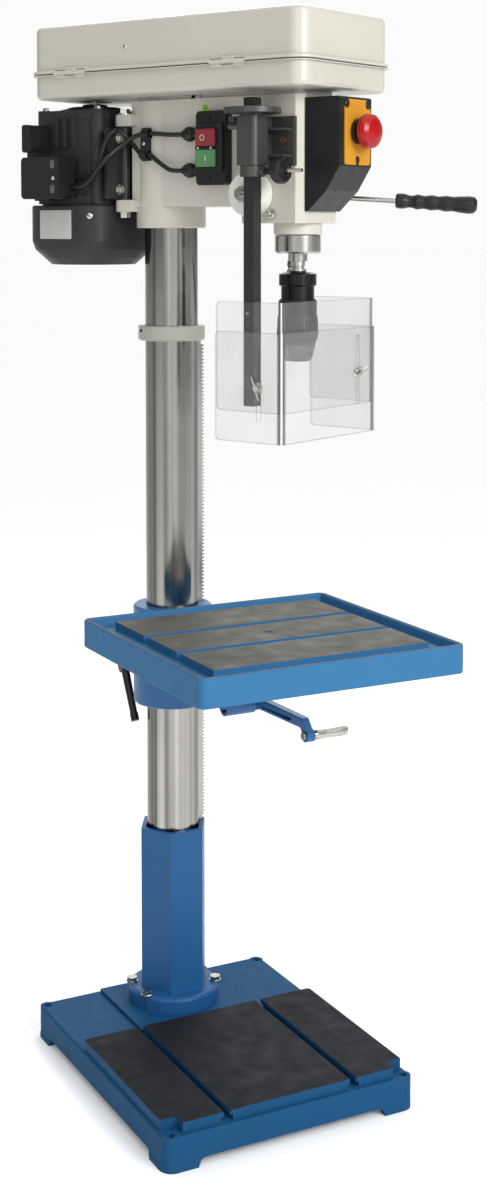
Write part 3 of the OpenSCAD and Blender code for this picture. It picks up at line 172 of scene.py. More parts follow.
class Graph(Nodes):
    """One material, built round a single Principled shader."""

    def __init__(self, name: str) -> None:
        """Starts the material and its Object coordinates.

        Args:
            name: The material's name.
        """
        self.material = bpy.data.materials.new(name)
        self.material.use_nodes = True
        super().__init__(self.material.node_tree)
        self.shader = next(n for n in self.tree.nodes if n.type == "BSDF_PRINCIPLED")
        self.position = self.node("ShaderNodeTexCoord").outputs["Object"]

    def noise(self, scale: float, detail: float, where: Socket | None = None) -> Socket:
        """A noise from 0 to 1 whose features are about 1/scale metres across."""
        inputs = {"Vector": where or self.position, "Scale": scale, "Detail": detail}
        return self.node("ShaderNodeTexNoise", inputs).outputs["Fac"]

    def drawn_noise(self, scale: Point, detail: float) -> Socket:
        """A noise whose features are about 1/scale metres long along each axis."""
        where = self.node("ShaderNodeMapping", {"Vector": self.position, "Scale": scale})
        return self.noise(1.0, detail, where.outputs["Vector"])

    def along(self, vector: Socket, axis: str) -> Socket:
        """A vector's part along X, Y or Z."""
        return self.node("ShaderNodeSeparateXYZ", {"Vector": vector}).outputs[axis]

    def blend(self, factor: object, a: object, b: object) -> Socket:
        """Mixes two colours.

        Args:
            factor: The share of the second colour, from 0 to 1.
            a: The first colour, a tuple or a socket.
            b: The second colour.

        Returns:
            The mixed colour.
        """
        first, second = MIX_COLOURS
        inputs = {"Factor": factor, first: rgba(a), second: rgba(b)}
        return self.node("ShaderNodeMix", inputs, data_type="RGBA").outputs[MIXED_COLOUR]

    def blend_numbers(self, factor: Socket, a: Socket, b: Socket) -> Socket:
        """Mixes two numbers.

        Args:
            factor: The share of the second number, from 0 to 1.
            a: The first number.
            b: The second number.

        Returns:
            The mixed number.
        """
        first, second = MIX_NUMBERS
        inputs = {"Factor": factor, first: a, second: b}
        return self.node("ShaderNodeMix", inputs, data_type="FLOAT").outputs[MIXED_NUMBER]

    def uneven(self, scale: float, detail: float, middle: float, less: float,
               more: float) -> Socket:
        """A roughness that wanders from its middle by less one way and by more the other."""
        return self.spread(self.noise(scale, detail), *NOISE_BAND, middle - less, middle + more)

    def edge_normal(self, radius: float) -> Socket:
        """The normal with edges rounded off by a small radius."""
        made = self.node("ShaderNodeBevel", {"Radius": radius}, samples=ROUNDING_SAMPLES)
        return made.outputs["Normal"]

    def edge_mask(self, rounded: Socket, low: float, high: float) -> Socket:
        """A mask that is 1 on sharp edges.

        Args:
            rounded: The normal with rounded edges.
            low: How far the two normals differ where the mask starts.
            high: How far they differ where it is full.

        Returns:
            The mask.
        """
        flat = self.node("ShaderNodeNewGeometry").outputs["Normal"]
        inputs = {0: rounded, 1: flat}
        same = self.node("ShaderNodeVectorMath", inputs, operation="DOT_PRODUCT").outputs["Value"]
        return self.spread(self.maths("SUBTRACT", 1.0, same), low, high)

    def bump(self, height: Socket, strength: float, depth: float, normal: Socket) -> Socket:
        """Fine relief over a normal; depth is in metres."""
        inputs = {"Height": height, "Strength": strength, "Distance": depth, "Normal": normal}
        return self.node("ShaderNodeBump", inputs).outputs["Normal"]

    def tooled(self, cut: Cut, roughness: float, strength: float,
               rounding: float) -> tuple[Socket, Socket]:
        """Tool marks on a metal.

        Args:
            cut: Which way the marks run.
            roughness: The metal's roughness.
            strength: How strongly the marks show in the relief.
            rounding: How far the edges are rounded off, in metres.

        Returns:
            The roughness and the normal.
        """
        lines = self.drawn_noise(cut.value, detail=2.0)
        smooth, rough = roughness * MARKS_SMOOTH, roughness * MARKS_ROUGH
        relief = self.bump(lines, strength, MARKS_DEPTH, self.edge_normal(rounding))
        return self.spread(lines, 0.25, 0.75, smooth, rough), relief

    def finish(self, **values: object) -> bpy.types.Material:
        """Sets the shader's sockets.

        Args:
            **values: A number or a socket for each, its name's words joined by _.

        Returns:
            The material.
        """
        for key, value in values.items():
            socket = self.shader.inputs[key.replace("_", " ")]
            if isinstance(value, Socket):
                self.tree.links.new(value, socket)
            else:
                socket.default_value = value
        return self.material


def set_stops(ramp: bpy.types.Node, stops: list[tuple[float, Colour]]) -> None:
    """Gives a Color Ramp its stops, the first of them at 0.

    Args:
        ramp: The Color Ramp node.
        stops: Rising positions from 0 to 1, each with its colour.
    """
    elements = ramp.color_ramp.elements
    elements.remove(elements[1])
    elements[0].position = 0.0
    elements[0].color = rgba(stops[0][1])
    for position, colour in stops[1:]:
        elements.new(position).color = rgba(colour)


@dataclass(frozen=True)
class Paint:
    """Sprayed paint over a casting or folded sheet."""

    name: str
    slot: Slot
    colour: Colour
    roughness: float = 0.38
    mottle: float = 0.07
    mottle_scale: float = 9.0
    sheen_scale: float = 38.0
    peel: float = 0.12
    peel_size: float = 0.0016
    peel_depth: float = 0.0004
    rounding: float = 0.0009
    worn: Colour | None = None
    wear_scale: float = 120.0
    gloss: float = 0.5
    coat: float = 0.15
    coat_roughness: float = 0.25

    def layers(self, graph: Graph) -> tuple[Socket, Socket, Socket]:
        """The paint itself.

        Args:
            graph: The material that the paint is for.

        Returns:
            Its colour, roughness and normal.
        """
        dark, light = toned(self.colour, 1.0 - self.mottle), toned(self.colour, 1.0 + self.mottle)
        tone = graph.blend(graph.noise(self.mottle_scale, detail=4.0), dark, light)
        rough = graph.uneven(self.sheen_scale, 3.0, self.roughness, less=0.05, more=0.06)
        rounded = graph.edge_normal(self.rounding)
        if self.worn is not None:
            edge = graph.edge_mask(rounded, 0.03, 0.25)
            patchy = graph.spread(graph.noise(self.wear_scale, detail=4.0), 0.5, 0.68)
            tone = graph.blend(graph.maths("MULTIPLY", edge, patchy), tone, self.worn)
        grain = graph.noise(1.0 / self.peel_size, detail=2.0)
        return tone, rough, graph.bump(grain, self.peel, self.peel_depth, rounded)

    def build(self) -> bpy.types.Material:
        """Makes the material.

        Returns:
            The finished material.
        """
        graph = Graph(self.name)
        tone, rough, skin = self.layers(graph)
        return graph.finish(Base_Color=tone, Roughness=rough, Normal=skin, Coat_Weight=self.coat,
                            Coat_Roughness=self.coat_roughness, Specular_IOR_Level=self.gloss)


@dataclass(frozen=True)
class MachinedTop:
    """A painted casting whose highest flats are machined bare."""

    name: str
    paint: Paint
    height: float
    colour: Colour
    roughness: float = 0.42
    metal: float = 0.5
    skim: float = 0.0004
    level: float = 0.9
    dark: float = 0.78
    light: float = 1.18
    scratch: float = 1.6
    grind: Point = (14.0, 900.0, 14.0)
    grind_relief: float = 0.25
    grind_depth: float = 0.0002

    @property
    def slot(self) -> Slot:
        """The paint's slot."""
        return self.paint.slot

    def build(self) -> bpy.types.Material:
        """Makes the material.

        Returns:
            The finished material.
        """
        graph = Graph(self.name)
        tone, rough, skin = self.paint.layers(graph)
        z = graph.along(graph.position, "Z")
        high = graph.maths("GREATER_THAN", z, self.height - self.skim)
        facing = graph.node("ShaderNodeNewGeometry").outputs["Normal"]
        flat = graph.maths("GREATER_THAN", graph.along(facing, "Z"), self.level)
        bare = graph.maths("MULTIPLY", high, flat)
        grind = graph.drawn_noise(self.grind, detail=2.0)
        film = graph.spread(graph.noise(5.0, detail=5.0), *NOISE_BAND)
        metal = graph.blend(film, toned(self.colour, self.dark), toned(self.colour, self.light))
        scratches = graph.spread(grind, 0.35, 0.75, 0.0, 0.35)
        metal = graph.blend(scratches, metal, toned(self.colour, self.scratch))
        metal_rough = graph.uneven(30.0, 4.0, self.roughness, less=0.1, more=0.12)
        lines = graph.maths("MULTIPLY", grind, bare)
        return graph.finish(Base_Color=graph.blend(bare, tone, metal),
                            Normal=graph.bump(lines, self.grind_relief, self.grind_depth, skin),
                            Metallic=graph.maths("MULTIPLY", bare, self.metal),
                            Roughness=graph.blend_numbers(bare, rough, metal_rough),
                            Specular_IOR_Level=self.paint.gloss)


@dataclass(frozen=True)
class Metal:
    """Bare, plated or blackened metal with its tool marks."""

    name: str
    slot: Slot
    colour: Colour
    roughness: float = 0.26
    cut: Cut = Cut.TURNED
    marks: float = 0.18
    stain: float = 0.15
    stain_scale: float = 14.0
    metallic: float = 1.0
    rounding: float = 0.0004
    # Painted reflection: how strongly dark upright streaks, standing in for a dim room, darken the
    # colour.
    reflection_streaks: float = 0.0
    reflection_streak_colour: Colour = (0.02, 0.019, 0.017)
    broad_reflection_streaks: Point = (26.0, 26.0, 0.12)
    fine_reflection_streaks: Point = (120.0, 120.0, 0.3)
    broad_share: float = 0.75

    def painted_reflections(self, graph: Graph, tone: Socket) -> Socket:
        """Painted reflection: dark upright streaks in the colour, standing in for a dim room
        reflected in polished steel.

        Args:
            graph: The material.
            tone: The metal's colour.

        Returns:
            The colour with its painted reflection streaks.
        """
        broad = graph.spread(graph.drawn_noise(self.broad_reflection_streaks, detail=1.5), 0.42, 0.56)
        fine = graph.spread(graph.drawn_noise(self.fine_reflection_streaks, detail=1.0), 0.35, 0.65)
        both = graph.maths("ADD", graph.maths("MULTIPLY", broad, self.broad_share),
                           graph.maths("MULTIPLY", fine, 1.0 - self.broad_share))
        reflection_share = graph.spread(both, 0.0, 1.0, self.reflection_streaks, 0.0)
        return graph.blend(reflection_share, tone, self.reflection_streak_colour)

    def build(self) -> bpy.types.Material:
        """Makes the material.

        Returns:
            The finished material.
        """
        graph = Graph(self.name)
        film = graph.spread(graph.noise(self.stain_scale, detail=5.0), 0.3, 0.72)
        tone = graph.blend(film, toned(self.colour, 1.0 - self.stain), self.colour)
        # Painted reflection: dark upright streaks baked into the metal's colour.
        if self.reflection_streaks:
            tone = self.painted_reflections(graph, tone)
        rough, relief = graph.tooled(self.cut, self.roughness, self.marks, self.rounding)
        return graph.finish(Base_Color=tone, Roughness=rough, Normal=relief, Metallic=self.metallic)


@dataclass(frozen=True)
class BandedMetal:
    """Turned metal whose colour changes at set heights, such as a black ring on a bright stem."""

    name: str
    slot: Slot
    bands: tuple[tuple[float, Colour], ...]
    low: float
    high: float
    roughness: float = 0.34
    marks: float = 0.2
    metallic: float = 0.95
    rounding: float = 0.0004
    grime: float = 0.3
    grime_scale: float = 20.0
    grime_colour: Colour = (0.02, 0.02, 0.02)

    def build(self) -> bpy.types.Material:
        """Makes the material.

        Returns:
            The finished material.
        """
        graph = Graph(self.name)
        height = graph.spread(graph.along(graph.position, "Z"), self.low, self.high)
        ramp = graph.node("ShaderNodeValToRGB", {"Fac": height})
        ramp.color_ramp.interpolation = "CONSTANT"
        span = self.high - self.low
        set_stops(ramp, [((start - self.low) / span, colour) for start, colour in self.bands])
        film = graph.spread(graph.noise(self.grime_scale, detail=4.0), 0.3, 0.72, 0.0, self.grime)
        tone = graph.blend(film, ramp.outputs["Color"], self.grime_colour)
        rough, relief = graph.tooled(Cut.TURNED, self.roughness, self.marks, self.rounding)
        return graph.finish(Base_Color=tone, Roughness=rough, Normal=relief, Metallic=self.metallic)


@dataclass(frozen=True)
class Plastic:
    """Moulded plastic or rubber with a fine spark-eroded grain."""

    name: str
    slot: Slot
    colour: Colour
    roughness: float = 0.45
    mottle: float = 0.12
    mottle_scale: float = 22.0
    sheen_scale: float = 55.0
    grain: float = 0.15
    grain_size: float = 0.0007
    grain_depth: float = 0.0002
    coat: float = 0.0
    coat_roughness: float = 0.12
    rounding: float = 0.0006
    gloss: float = 0.5

    def build(self) -> bpy.types.Material:
        """Makes the material.

        Returns:
            The finished material.
        """
        graph = Graph(self.name)
        dark, light = toned(self.colour, 1.0 - self.mottle), toned(self.colour, 1.0 + self.mottle)
        tone = graph.blend(graph.noise(self.mottle_scale, detail=4.0), dark, light)
        rough = graph.uneven(self.sheen_scale, 3.0, self.roughness, less=0.05, more=0.07)
        grain = graph.noise(1.0 / self.grain_size, detail=2.0)
        relief = graph.bump(grain, self.grain, self.grain_depth, graph.edge_normal(self.rounding))
        return graph.finish(Base_Color=tone, Roughness=rough, Normal=relief, Coat_Weight=self.coat,
                            Coat_Roughness=self.coat_roughness, Specular_IOR_Level=self.gloss)


@dataclass(frozen=True)
class ClearSheet:
    """Clear sheet: faint grey faces, painted shade as dark lines on the cut edges and round the
    folds, and painted highlights on the folds' crests between those dark lines.
    """

    name: str
    slot: Slot
    colour: Colour = (0.40, 0.40, 0.42)
    # Painted shade for the dark edge lines, and painted highlight for the bright fold crests.
    edge_shade_colour: Colour = (0.10, 0.10, 0.105)
    fold_highlight_colour: Colour = (0.78, 0.78, 0.79)
    face: float = 0.10
    edge: float = 0.72
    smear: float = 0.05
    turn: float = -25.0
    rounding: float = 0.0024
    fold_from: float = 0.03
    fold_full: float = 0.14
    fold_highlight_from: float = 0.45
    fold_highlight_full: float = 0.49
    ior: float = 1.5

    def build(self) -> bpy.types.Material:
        """Makes the material, whose painted fold highlights are where a face turns between the
        panel's flat sides.

        Returns:
            The finished material.
        """
        graph = Graph(self.name)
        rim = graph.edge_mask(graph.edge_normal(self.rounding), 0.02, 0.3)
        facing = graph.node("ShaderNodeTexCoord").outputs["Normal"]
        inputs = {"Vector": facing, "Angle": math.radians(self.turn)}
        square = graph.node("ShaderNodeVectorRotate", inputs, rotation_type="Z_AXIS")
        parts = graph.node("ShaderNodeSeparateXYZ", {"Vector": square.outputs["Vector"]}).outputs
        skew = graph.maths("ABSOLUTE", graph.maths("MULTIPLY", parts["X"], parts["Y"]))
        fold = graph.spread(skew, self.fold_from, self.fold_full)
        fold_highlight = graph.spread(skew, self.fold_highlight_from, self.fold_highlight_full)
        level = graph.spread(graph.maths("ABSOLUTE", parts["Z"]), 0.5, 0.9)
        line = graph.maths("MAXIMUM", graph.maths("MAXIMUM", rim, level), fold)
        smear = graph.spread(graph.noise(11.0, detail=5.0), 0.45, 0.8, 0.0, self.smear)
        alpha = graph.maths("ADD", graph.spread(line, 0.0, 1.0, self.face, self.edge), smear)
        # Painted shade: dark lines on cut edges, level faces and folds.
        edge_shaded = graph.blend(line, self.colour, self.edge_shade_colour)
        # Painted highlight: bright colour on the folds' crests.
        tone = graph.blend(fold_highlight, edge_shaded, self.fold_highlight_colour)
        rough = graph.spread(graph.noise(60.0, detail=4.0), 0.3, 0.8, 0.03, 0.16)
        made = graph.finish(Base_Color=tone, Alpha=alpha, Roughness=rough, IOR=self.ior)
        made.surface_render_method = "BLENDED"
        return made


Finish = Paint | MachinedTop | Metal | BandedMetal | Plastic | ClearSheet

BLUE = Paint("blue_cast_paint", Slot.BLUE, (0.016, 0.112, 0.290), 0.42, worn=(0.07, 0.19, 0.32),
             gloss=0.35)
MATT_BLUE = replace(BLUE, name="blue_flat_paint", colour=(0.032, 0.138, 0.290), gloss=0.12,
                    coat=0.0, roughness=0.55)
BASE_BLUE = replace(MATT_BLUE, name="blue_base_paint", colour=(0.009, 0.066, 0.160), gloss=0.08)
LEG_BLUE = replace(BLUE, name="blue_pedestal_paint", colour=(0.013, 0.092, 0.245), gloss=0.22,
                   coat=0.08)
CREAM = Paint("warm_grey_paint", Slot.CREAM, (0.490, 0.476, 0.410), 0.36, mottle=0.03,
              worn=(0.62, 0.61, 0.54))
CAST_CREAM = Paint("warm_grey_cast_paint", Slot.CREAM, (0.525, 0.511, 0.443), 0.40, mottle=0.05,
                   peel=0.22, peel_size=0.0028, rounding=0.0016)
LIGHT_CREAM = replace(CREAM, name="light_warm_grey_paint", colour=(0.680, 0.670, 0.620), coat=0.3)
RING_CREAM = replace(CAST_CREAM, name="warm_grey_ring_paint", colour=(0.350, 0.343, 0.305))
BLACK = Paint("black_paint", Slot.BLACK, (0.016, 0.016, 0.0165), 0.32, mottle=0.15,
              worn=(0.05, 0.05, 0.05), gloss=0.35, coat=0.08)
MOTOR_BLACK = replace(BLACK, name="motor_paint", colour=(0.030, 0.030, 0.031), gloss=0.22,
                      coat=0.0, roughness=0.42)
GREY_BLACK = replace(BLACK, name="grey_black_paint", colour=(0.040, 0.039, 0.038), gloss=0.5,
                     roughness=0.4)
STEEL = Metal("turned_steel", Slot.STEEL, (0.50, 0.485, 0.46), 0.22)
# The column's colour carries a painted reflection of a dim room as dark upright streaks.
COLUMN_STEEL = Metal("ground_column_steel", Slot.STEEL, (0.53, 0.515, 0.48), 0.16, marks=0.2,
                     stain=0.08, reflection_streaks=0.88)
CUT_STEEL = Metal("milled_steel", Slot.STEEL, (0.44, 0.43, 0.42), 0.34, Cut.GROUND)
PLATED = Metal("zinc_plated_steel", Slot.PLATED, (0.62, 0.61, 0.57), 0.22, Cut.CAST, marks=0.1)
DARK = Metal("blackened_steel", Slot.DARK, (0.050, 0.048, 0.047), 0.36, metallic=0.9)
ALLOY = Metal("pulley_alloy", Slot.ALLOY, (0.56, 0.57, 0.58), 0.32)
BARE_PLATE = Metal("bare_data_plate", Slot.PLATED, (0.50, 0.49, 0.47), 0.45, Cut.GROUND, marks=0.12,
                   metallic=0.25)
BRASS = Metal("brass_screw", Slot.PLATED, (0.24, 0.17, 0.09), 0.38)
CHUCK_BODY = BandedMetal(
    "chuck_body_metal", Slot.STEEL,
    ((1.10, (0.20, 0.195, 0.172)), (1.247, (0.026, 0.025, 0.024)), (1.3635, (0.50, 0.485, 0.46))),
    1.10, 1.45)
CHUCK_SLEEVE = BandedMetal(
    "chuck_sleeve_metal", Slot.DARK,
    ((1.10, (0.155, 0.152, 0.134)), (1.2465, (0.048, 0.0465, 0.045)),
     (1.2915, (0.040, 0.039, 0.038))),
    1.10, 1.40, 0.4)
PLASTIC = Plastic("black_plastic", Slot.PLASTIC, (0.011, 0.011, 0.0115), 0.38, gloss=0.3)
RUBBER = Plastic("lead_rubber", Slot.PLASTIC, (0.010, 0.010, 0.010), 0.32, coat=0.1, gloss=0.3)
BELT = Plastic("belt_rubber", Slot.RUBBER, (0.020, 0.019, 0.018), 0.7)
RED = Plastic("red_plastic", Slot.RED, (0.330, 0.004, 0.004), 0.30, grain=0.05, coat=0.1, gloss=0.3)
KEY_RED = Plastic("red_key", Slot.RED, (0.250, 0.026, 0.034), 0.34, grain=0.05, gloss=0.4)
GREEN = Plastic("green_key", Slot.GREEN, (0.085, 0.235, 0.095), 0.34, grain=0.05, gloss=0.4)
YELLOW = Plastic("yellow_plate", Slot.YELLOW, (0.515, 0.230, 0.014), 0.42, grain=0.05, gloss=0.3)
WHITE = Plastic("white_marking", Slot.CREAM, (0.62, 0.62, 0.60), 0.5, grain=0.03)
LIME = Plastic("green_dot", Slot.GREEN, (0.15, 0.42, 0.03), 0.45, grain=0.03)
LEMON = Plastic("yellow_ring", Slot.YELLOW, (0.60, 0.64, 0.06), 0.45, grain=0.03)
# Painted highlight: light grey standing in for light caught in the terminal boxes' notches.
NOTCH_HIGHLIGHT = Plastic("notch_highlight_grey", Slot.PLASTIC, (0.085, 0.085, 0.088), 0.3, gloss=0.5)
CLEAR = ClearSheet("clear_sheet", Slot.CLEAR)


class Shop:
    """Makes pieces, gives them finishes and puts them on their bodies."""

    def __init__(self, frame: dict) -> None:
        """Finds the column's frame and the turned head's frame from the joints.

        Args:
            frame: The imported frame.
        """
        self.frame = frame
        self.finishes: dict[str, bpy.types.Material] = {}
        joints = {j["name"]: j for j in frame["joints"]}
        post = Vector(joints["head_swivel"]["pos_m"])
        hinge = Vector(joints["lid_open"]["axis"])
        turn = Matrix.Rotation(math.atan2(hinge.x, -hinge.y), 4, "Z")
        middle, scale = Matrix.Translation((post.x, post.y, 0.0)), Matrix.Scale(MM, 4)
        self.head = middle @ turn @ scale
        self.column = middle @ scale

    def material(self, finish: Finish) -> bpy.types.Material:
        """Makes the material of a finish, once.

        Args:
            finish: The finish.

        Returns:
            Its material.
        """
        if finish.name not in self.finishes:
            self.finishes[finish.name] = finish.build()
        return self.finishes[finish.name]

    def dress(self, finish: Finish, *nodes: str) -> None:
        """Gives CAD nodes their finish.

        Args:
            finish: The finish to use.
            *nodes: Names of the nodes.
        """
        for name in nodes:
            node = self.frame["nodes"][name]
            node.data.materials.clear()
            node.data.materials.append(self.material(finish))
            finish.slot.value
            LOG.info("dressed %s in %s", name, finish.name)

    def add(self, name: str, mesh: bpy.types.Mesh, finish: Finish, body: str | None,
            sharp: float = 35.0) -> bpy.types.Object:
        """Puts a finished mesh on its body.

        Args:
            name: The piece's name.
            mesh: Its mesh, already in the row frame in metres.
            finish: Its finish.
            body: The body that it rides on, or None to leave it on no body.
            sharp: Edges over this many degrees stay sharp.

        Returns:
            The new object.
        """
        mesh.name = name
        piece = bpy.data.objects.new(name, mesh)
        bpy.context.scene.collection.objects.link(piece)
        mesh.materials.clear()
        mesh.materials.append(self.material(finish))
        mesh.polygons.foreach_set("use_smooth", [True] * len(mesh.polygons))
        mesh.set_sharp_from_angle(angle=math.radians(sharp))
        finish.slot.value
        if body is not None:
            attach(piece, body)
        LOG.info("made %s for %s, %d faces", name, body or "two bodies", len(mesh.polygons))
        return piece


def basis(at: Point, facing: Point) -> Matrix:
    """A matrix whose +Z points along facing, at a point, in millimetres."""
    turn = Vector(facing).to_track_quat("Z", "Y").to_matrix().to_4x4()
    return Matrix.Translation(at) @ turn


def grid(xs: tuple[float, ...], ys: tuple[float, ...], zs: tuple[float, ...]) -> tuple[Point, ...]:
    """The points at every crossing of the given X, Y and Z."""
    return tuple((x, y, z) for x in xs for y in ys for z in zs)


def to_mesh(work: bmesh.types.BMesh, place: Matrix) -> bpy.types.Mesh:
    """Turns a bmesh into a mesh and frees it.

    Args:
        work: The bmesh.
        place: Where it goes.

    Returns:
        The mesh at its place.
    """
    mesh = bpy.data.meshes.new("piece")
    work.to_mesh(mesh)
    work.free()
    mesh.transform(place)
    return mesh


def lathe(profile: Profile, place: Matrix, steps: int = 48) -> bpy.types.Mesh:
    """Turns a profile of (radius, height) round its axis.

    Args:
        profile: Points from the axis or rim at one end to the other end, in millimetres.
        place: Where the axis goes.
        steps: Faces round the axis.

    Returns:
        A closed mesh, where the profile starts and ends on the axis or at one point.
    """
    work = bmesh.new()
    verts = [work.verts.new((r, 0.0, z)) for r, z in profile]
    edges = [work.edges.new(pair) for pair in zip(verts, verts[1:])]
    bmesh.ops.spin(work, geom=verts + edges, axis=(0, 0, 1), cent=(0, 0, 0), steps=steps,
                   angle=math.tau, use_merge=True)
    bmesh.ops.remove_doubles(work, verts=work.verts, dist=0.001)
    bmesh.ops.recalc_face_normals(work, faces=work.faces)
    return to_mesh(work, place)


@dataclass(frozen=True)
class Plate:
    """A plate with rounded corners and a rounded top edge, its sizes in millimetres."""

    width: float
    depth: float
    height: float
    corner: float
    edge: float

    def mesh(self, place: Matrix) -> bpy.types.Mesh:
        """Makes the plate, centred on X and Y and standing on Z 0.

        Args:
            place: Where it goes.

        Returns:
            A closed mesh.
        """
        work = bmesh.new()
        ring = []
        wide, deep = self.width / 2 - self.corner, self.depth / 2 - self.corner
        for quarter, (sx, sy) in enumerate(((1, 1), (-1, 1), (-1, -1), (1, -1))):
            for step in range(CORNER_STEPS + 1):
                angle = math.radians(90 * quarter + 90 // CORNER_STEPS * step)
                ring.append(work.verts.new((sx * wide + self.corner * math.cos(angle),
                                            sy * deep + self.corner * math.sin(angle), 0.0)))
        base = work.faces.new(ring)
        raised = bmesh.ops.extrude_face_region(work, geom=[base])
        top = [v for v in raised["geom"] if isinstance(v, bmesh.types.BMVert)]
        bmesh.ops.translate(work, verts=top, vec=(0, 0, self.height))
        rim = [e for e in work.edges if all(v.co.z > self.height / 2 for v in e.verts)]
        bmesh.ops.bevel(work, geom=rim, offset=self.edge, segments=3, profile=0.5, affect="EDGES")
        bmesh.ops.recalc_face_normals(work, faces=work.faces)
        return to_mesh(work, place)


class Tree(Nodes):
    """A Geometry Nodes tree with named inputs."""

    def __init__(self, name: str, sizes: dict[str, float]) -> None:
        """Starts a tree that takes points or a path, some sizes and a material.

        Args:
            name: The tree's name.
            sizes: Its sizes by name, each with its usual value in metres.
        """
        super().__init__(bpy.data.node_groups.new(name, "GeometryNodeTree"))
        face = self.tree.interface
        face.new_socket("Geometry", in_out="INPUT", socket_type="NodeSocketGeometry")
        for key, value in sizes.items():
            socket = face.new_socket(key, in_out="INPUT", socket_type="NodeSocketFloat")
            socket.default_value = value
        face.new_socket("Finish", in_out="INPUT", socket_type="NodeSocketMaterial")
        face.new_socket("Geometry", in_out="OUTPUT", socket_type="NodeSocketGeometry")
        self.given = self.node("NodeGroupInput").outputs

    def up(self, geometry: Socket, height: object) -> Socket:
        """Moves geometry along +Z."""
        inputs = {"Geometry": geometry, "Translation": self.vector(0.0, 0.0, height)}
        return self.node("GeometryNodeTransform", inputs).outputs[0]

    def vector(self, x: object, y: object, z: object) -> Socket:
        """A vector from its three parts."""
        return self.node("ShaderNodeCombineXYZ", {"X": x, "Y": y, "Z": z}).outputs[0]

    def drum(self, sides: int, radius: Socket, depth: Socket) -> Socket:
        """A cylinder or prism round the origin."""
        inputs = {"Vertices": sides, "Radius": radius, "Depth": depth}
        return self.node("GeometryNodeMeshCylinder", inputs).outputs["Mesh"]

    def join(self, *parts: Socket) -> Socket:
        """Joins several geometries.

        Args:
            *parts: The geometries.

        Returns:
            All of them as one.
        """
        made = self.node("GeometryNodeJoinGeometry")
        for part in parts:
            self.tree.links.new(part, made.inputs[0])
        return made.outputs[0]

    def cut(self, shape: Socket, *tools: Socket) -> Socket:
        """Takes tools out of a shape.

        Args:
            shape: The shape.
            *tools: What is taken out of it.

        Returns:
            What is left.
        """
        made = self.node("GeometryNodeMeshBoolean", {"Mesh 1": shape}, operation="DIFFERENCE")
        for tool in tools:
            self.tree.links.new(tool, made.inputs["Mesh 2"])
        return made.outputs[0]

    def scatter(self, shape: Socket) -> bpy.types.GeometryNodeTree:
        """Puts a shape on every point, its +Z along the point's facing, and ends the tree.

        Args:
            shape: The shape.

        Returns:
            The finished tree.
        """
        facing = self.node("GeometryNodeInputNamedAttribute", {"Name": "facing"},
                           data_type="FLOAT_VECTOR").outputs[0]
        turn = self.node("FunctionNodeAlignEulerToVector", {"Vector": facing}, axis="Z").outputs[0]
        inputs = {"Points": self.given["Geometry"], "Instance": shape, "Rotation": turn}
        placed = self.node("GeometryNodeInstanceOnPoints", inputs).outputs[0]
        return self.end(placed)

    def end(self, geometry: Socket) -> bpy.types.GeometryNodeTree:
        """Makes instances real, sets the material and closes the tree.

        Args:
            geometry: What the tree has made.

        Returns:
            The finished tree.
        """
        real = self.node("GeometryNodeRealizeInstances", {"Geometry": geometry}).outputs[0]
        inputs = {"Geometry": real, "Material": self.given["Finish"]}
        done = self.node("GeometryNodeSetMaterial", inputs).outputs[0]
        self.tree.links.new(done, self.node("NodeGroupOutput").inputs[0])
        return self.tree


class Fastener(Enum):
    """Kinds of screw head."""

    HEX = "hex_heads"
    PAN = "pan_heads"
    SOCKET = "socket_heads"


def hex_head_tree() -> bpy.types.GeometryNodeTree:
    """Hexagon head with a chamfer, on a round washer.

    Returns:
        The tree.
    """
    tree = Tree(Fastener.HEX.value, {"Flats": 0.010, "Head": 0.005, "Washer": 0.008,
                                     "Thickness": 0.0015})
    straight, chamfer, narrowing = 0.8, 0.2, 0.84
    flats, head, thick = tree.given["Flats"], tree.given["Head"], tree.given["Thickness"]
    corner = tree.maths("DIVIDE", flats, math.sqrt(3.0))
    washer = tree.drum(32, tree.given["Washer"], thick)
    prism = tree.drum(6, corner, tree.maths("MULTIPLY", head, straight))
    crown = tree.node("GeometryNodeMeshCone", {
        "Vertices": 6, "Radius Top": tree.maths("MULTIPLY", corner, narrowing),
        "Radius Bottom": corner, "Depth": tree.maths("MULTIPLY", head, chamfer)}).outputs["Mesh"]
    low = tree.maths("ADD", thick, tree.maths("MULTIPLY", head, straight / 2))
    high = tree.maths("ADD", thick, tree.maths("MULTIPLY", head, straight))
    return tree.scatter(tree.join(tree.up(washer, tree.maths("MULTIPLY", thick, 0.5)),
                                  tree.up(prism, low), tree.up(crown, high)))


def pan_head_tree() -> bpy.types.GeometryNodeTree:
    """Domed head with a cross recess.

    Returns:
        The tree.
    """
    tree = Tree(Fastener.PAN.value, {"Radius": 0.004, "Height": 0.0022})
    reach, web, sunk = 1.1, 0.24, 0.8
    radius, height = tree.given["Radius"], tree.given["Height"]
    ball = tree.node("GeometryNodeMeshUVSphere", {"Segments": 24, "Rings": 12, "Radius": 1.0})
    dome = tree.node("GeometryNodeTransform", {
        "Geometry": ball.outputs["Mesh"], "Scale": tree.vector(radius, radius, height)}).outputs[0]
    long, narrow = tree.maths("MULTIPLY", radius, reach), tree.maths("MULTIPLY", radius, web)
    deep = tree.maths("MULTIPLY", height, sunk)
    bars = []
    for x, y in ((long, narrow), (narrow, long)):
        bar = tree.node("GeometryNodeMeshCube", {"Size": tree.vector(x, y, deep)}).outputs["Mesh"]
        bars.append(tree.up(bar, height))
    return tree.scatter(tree.cut(dome, *bars))


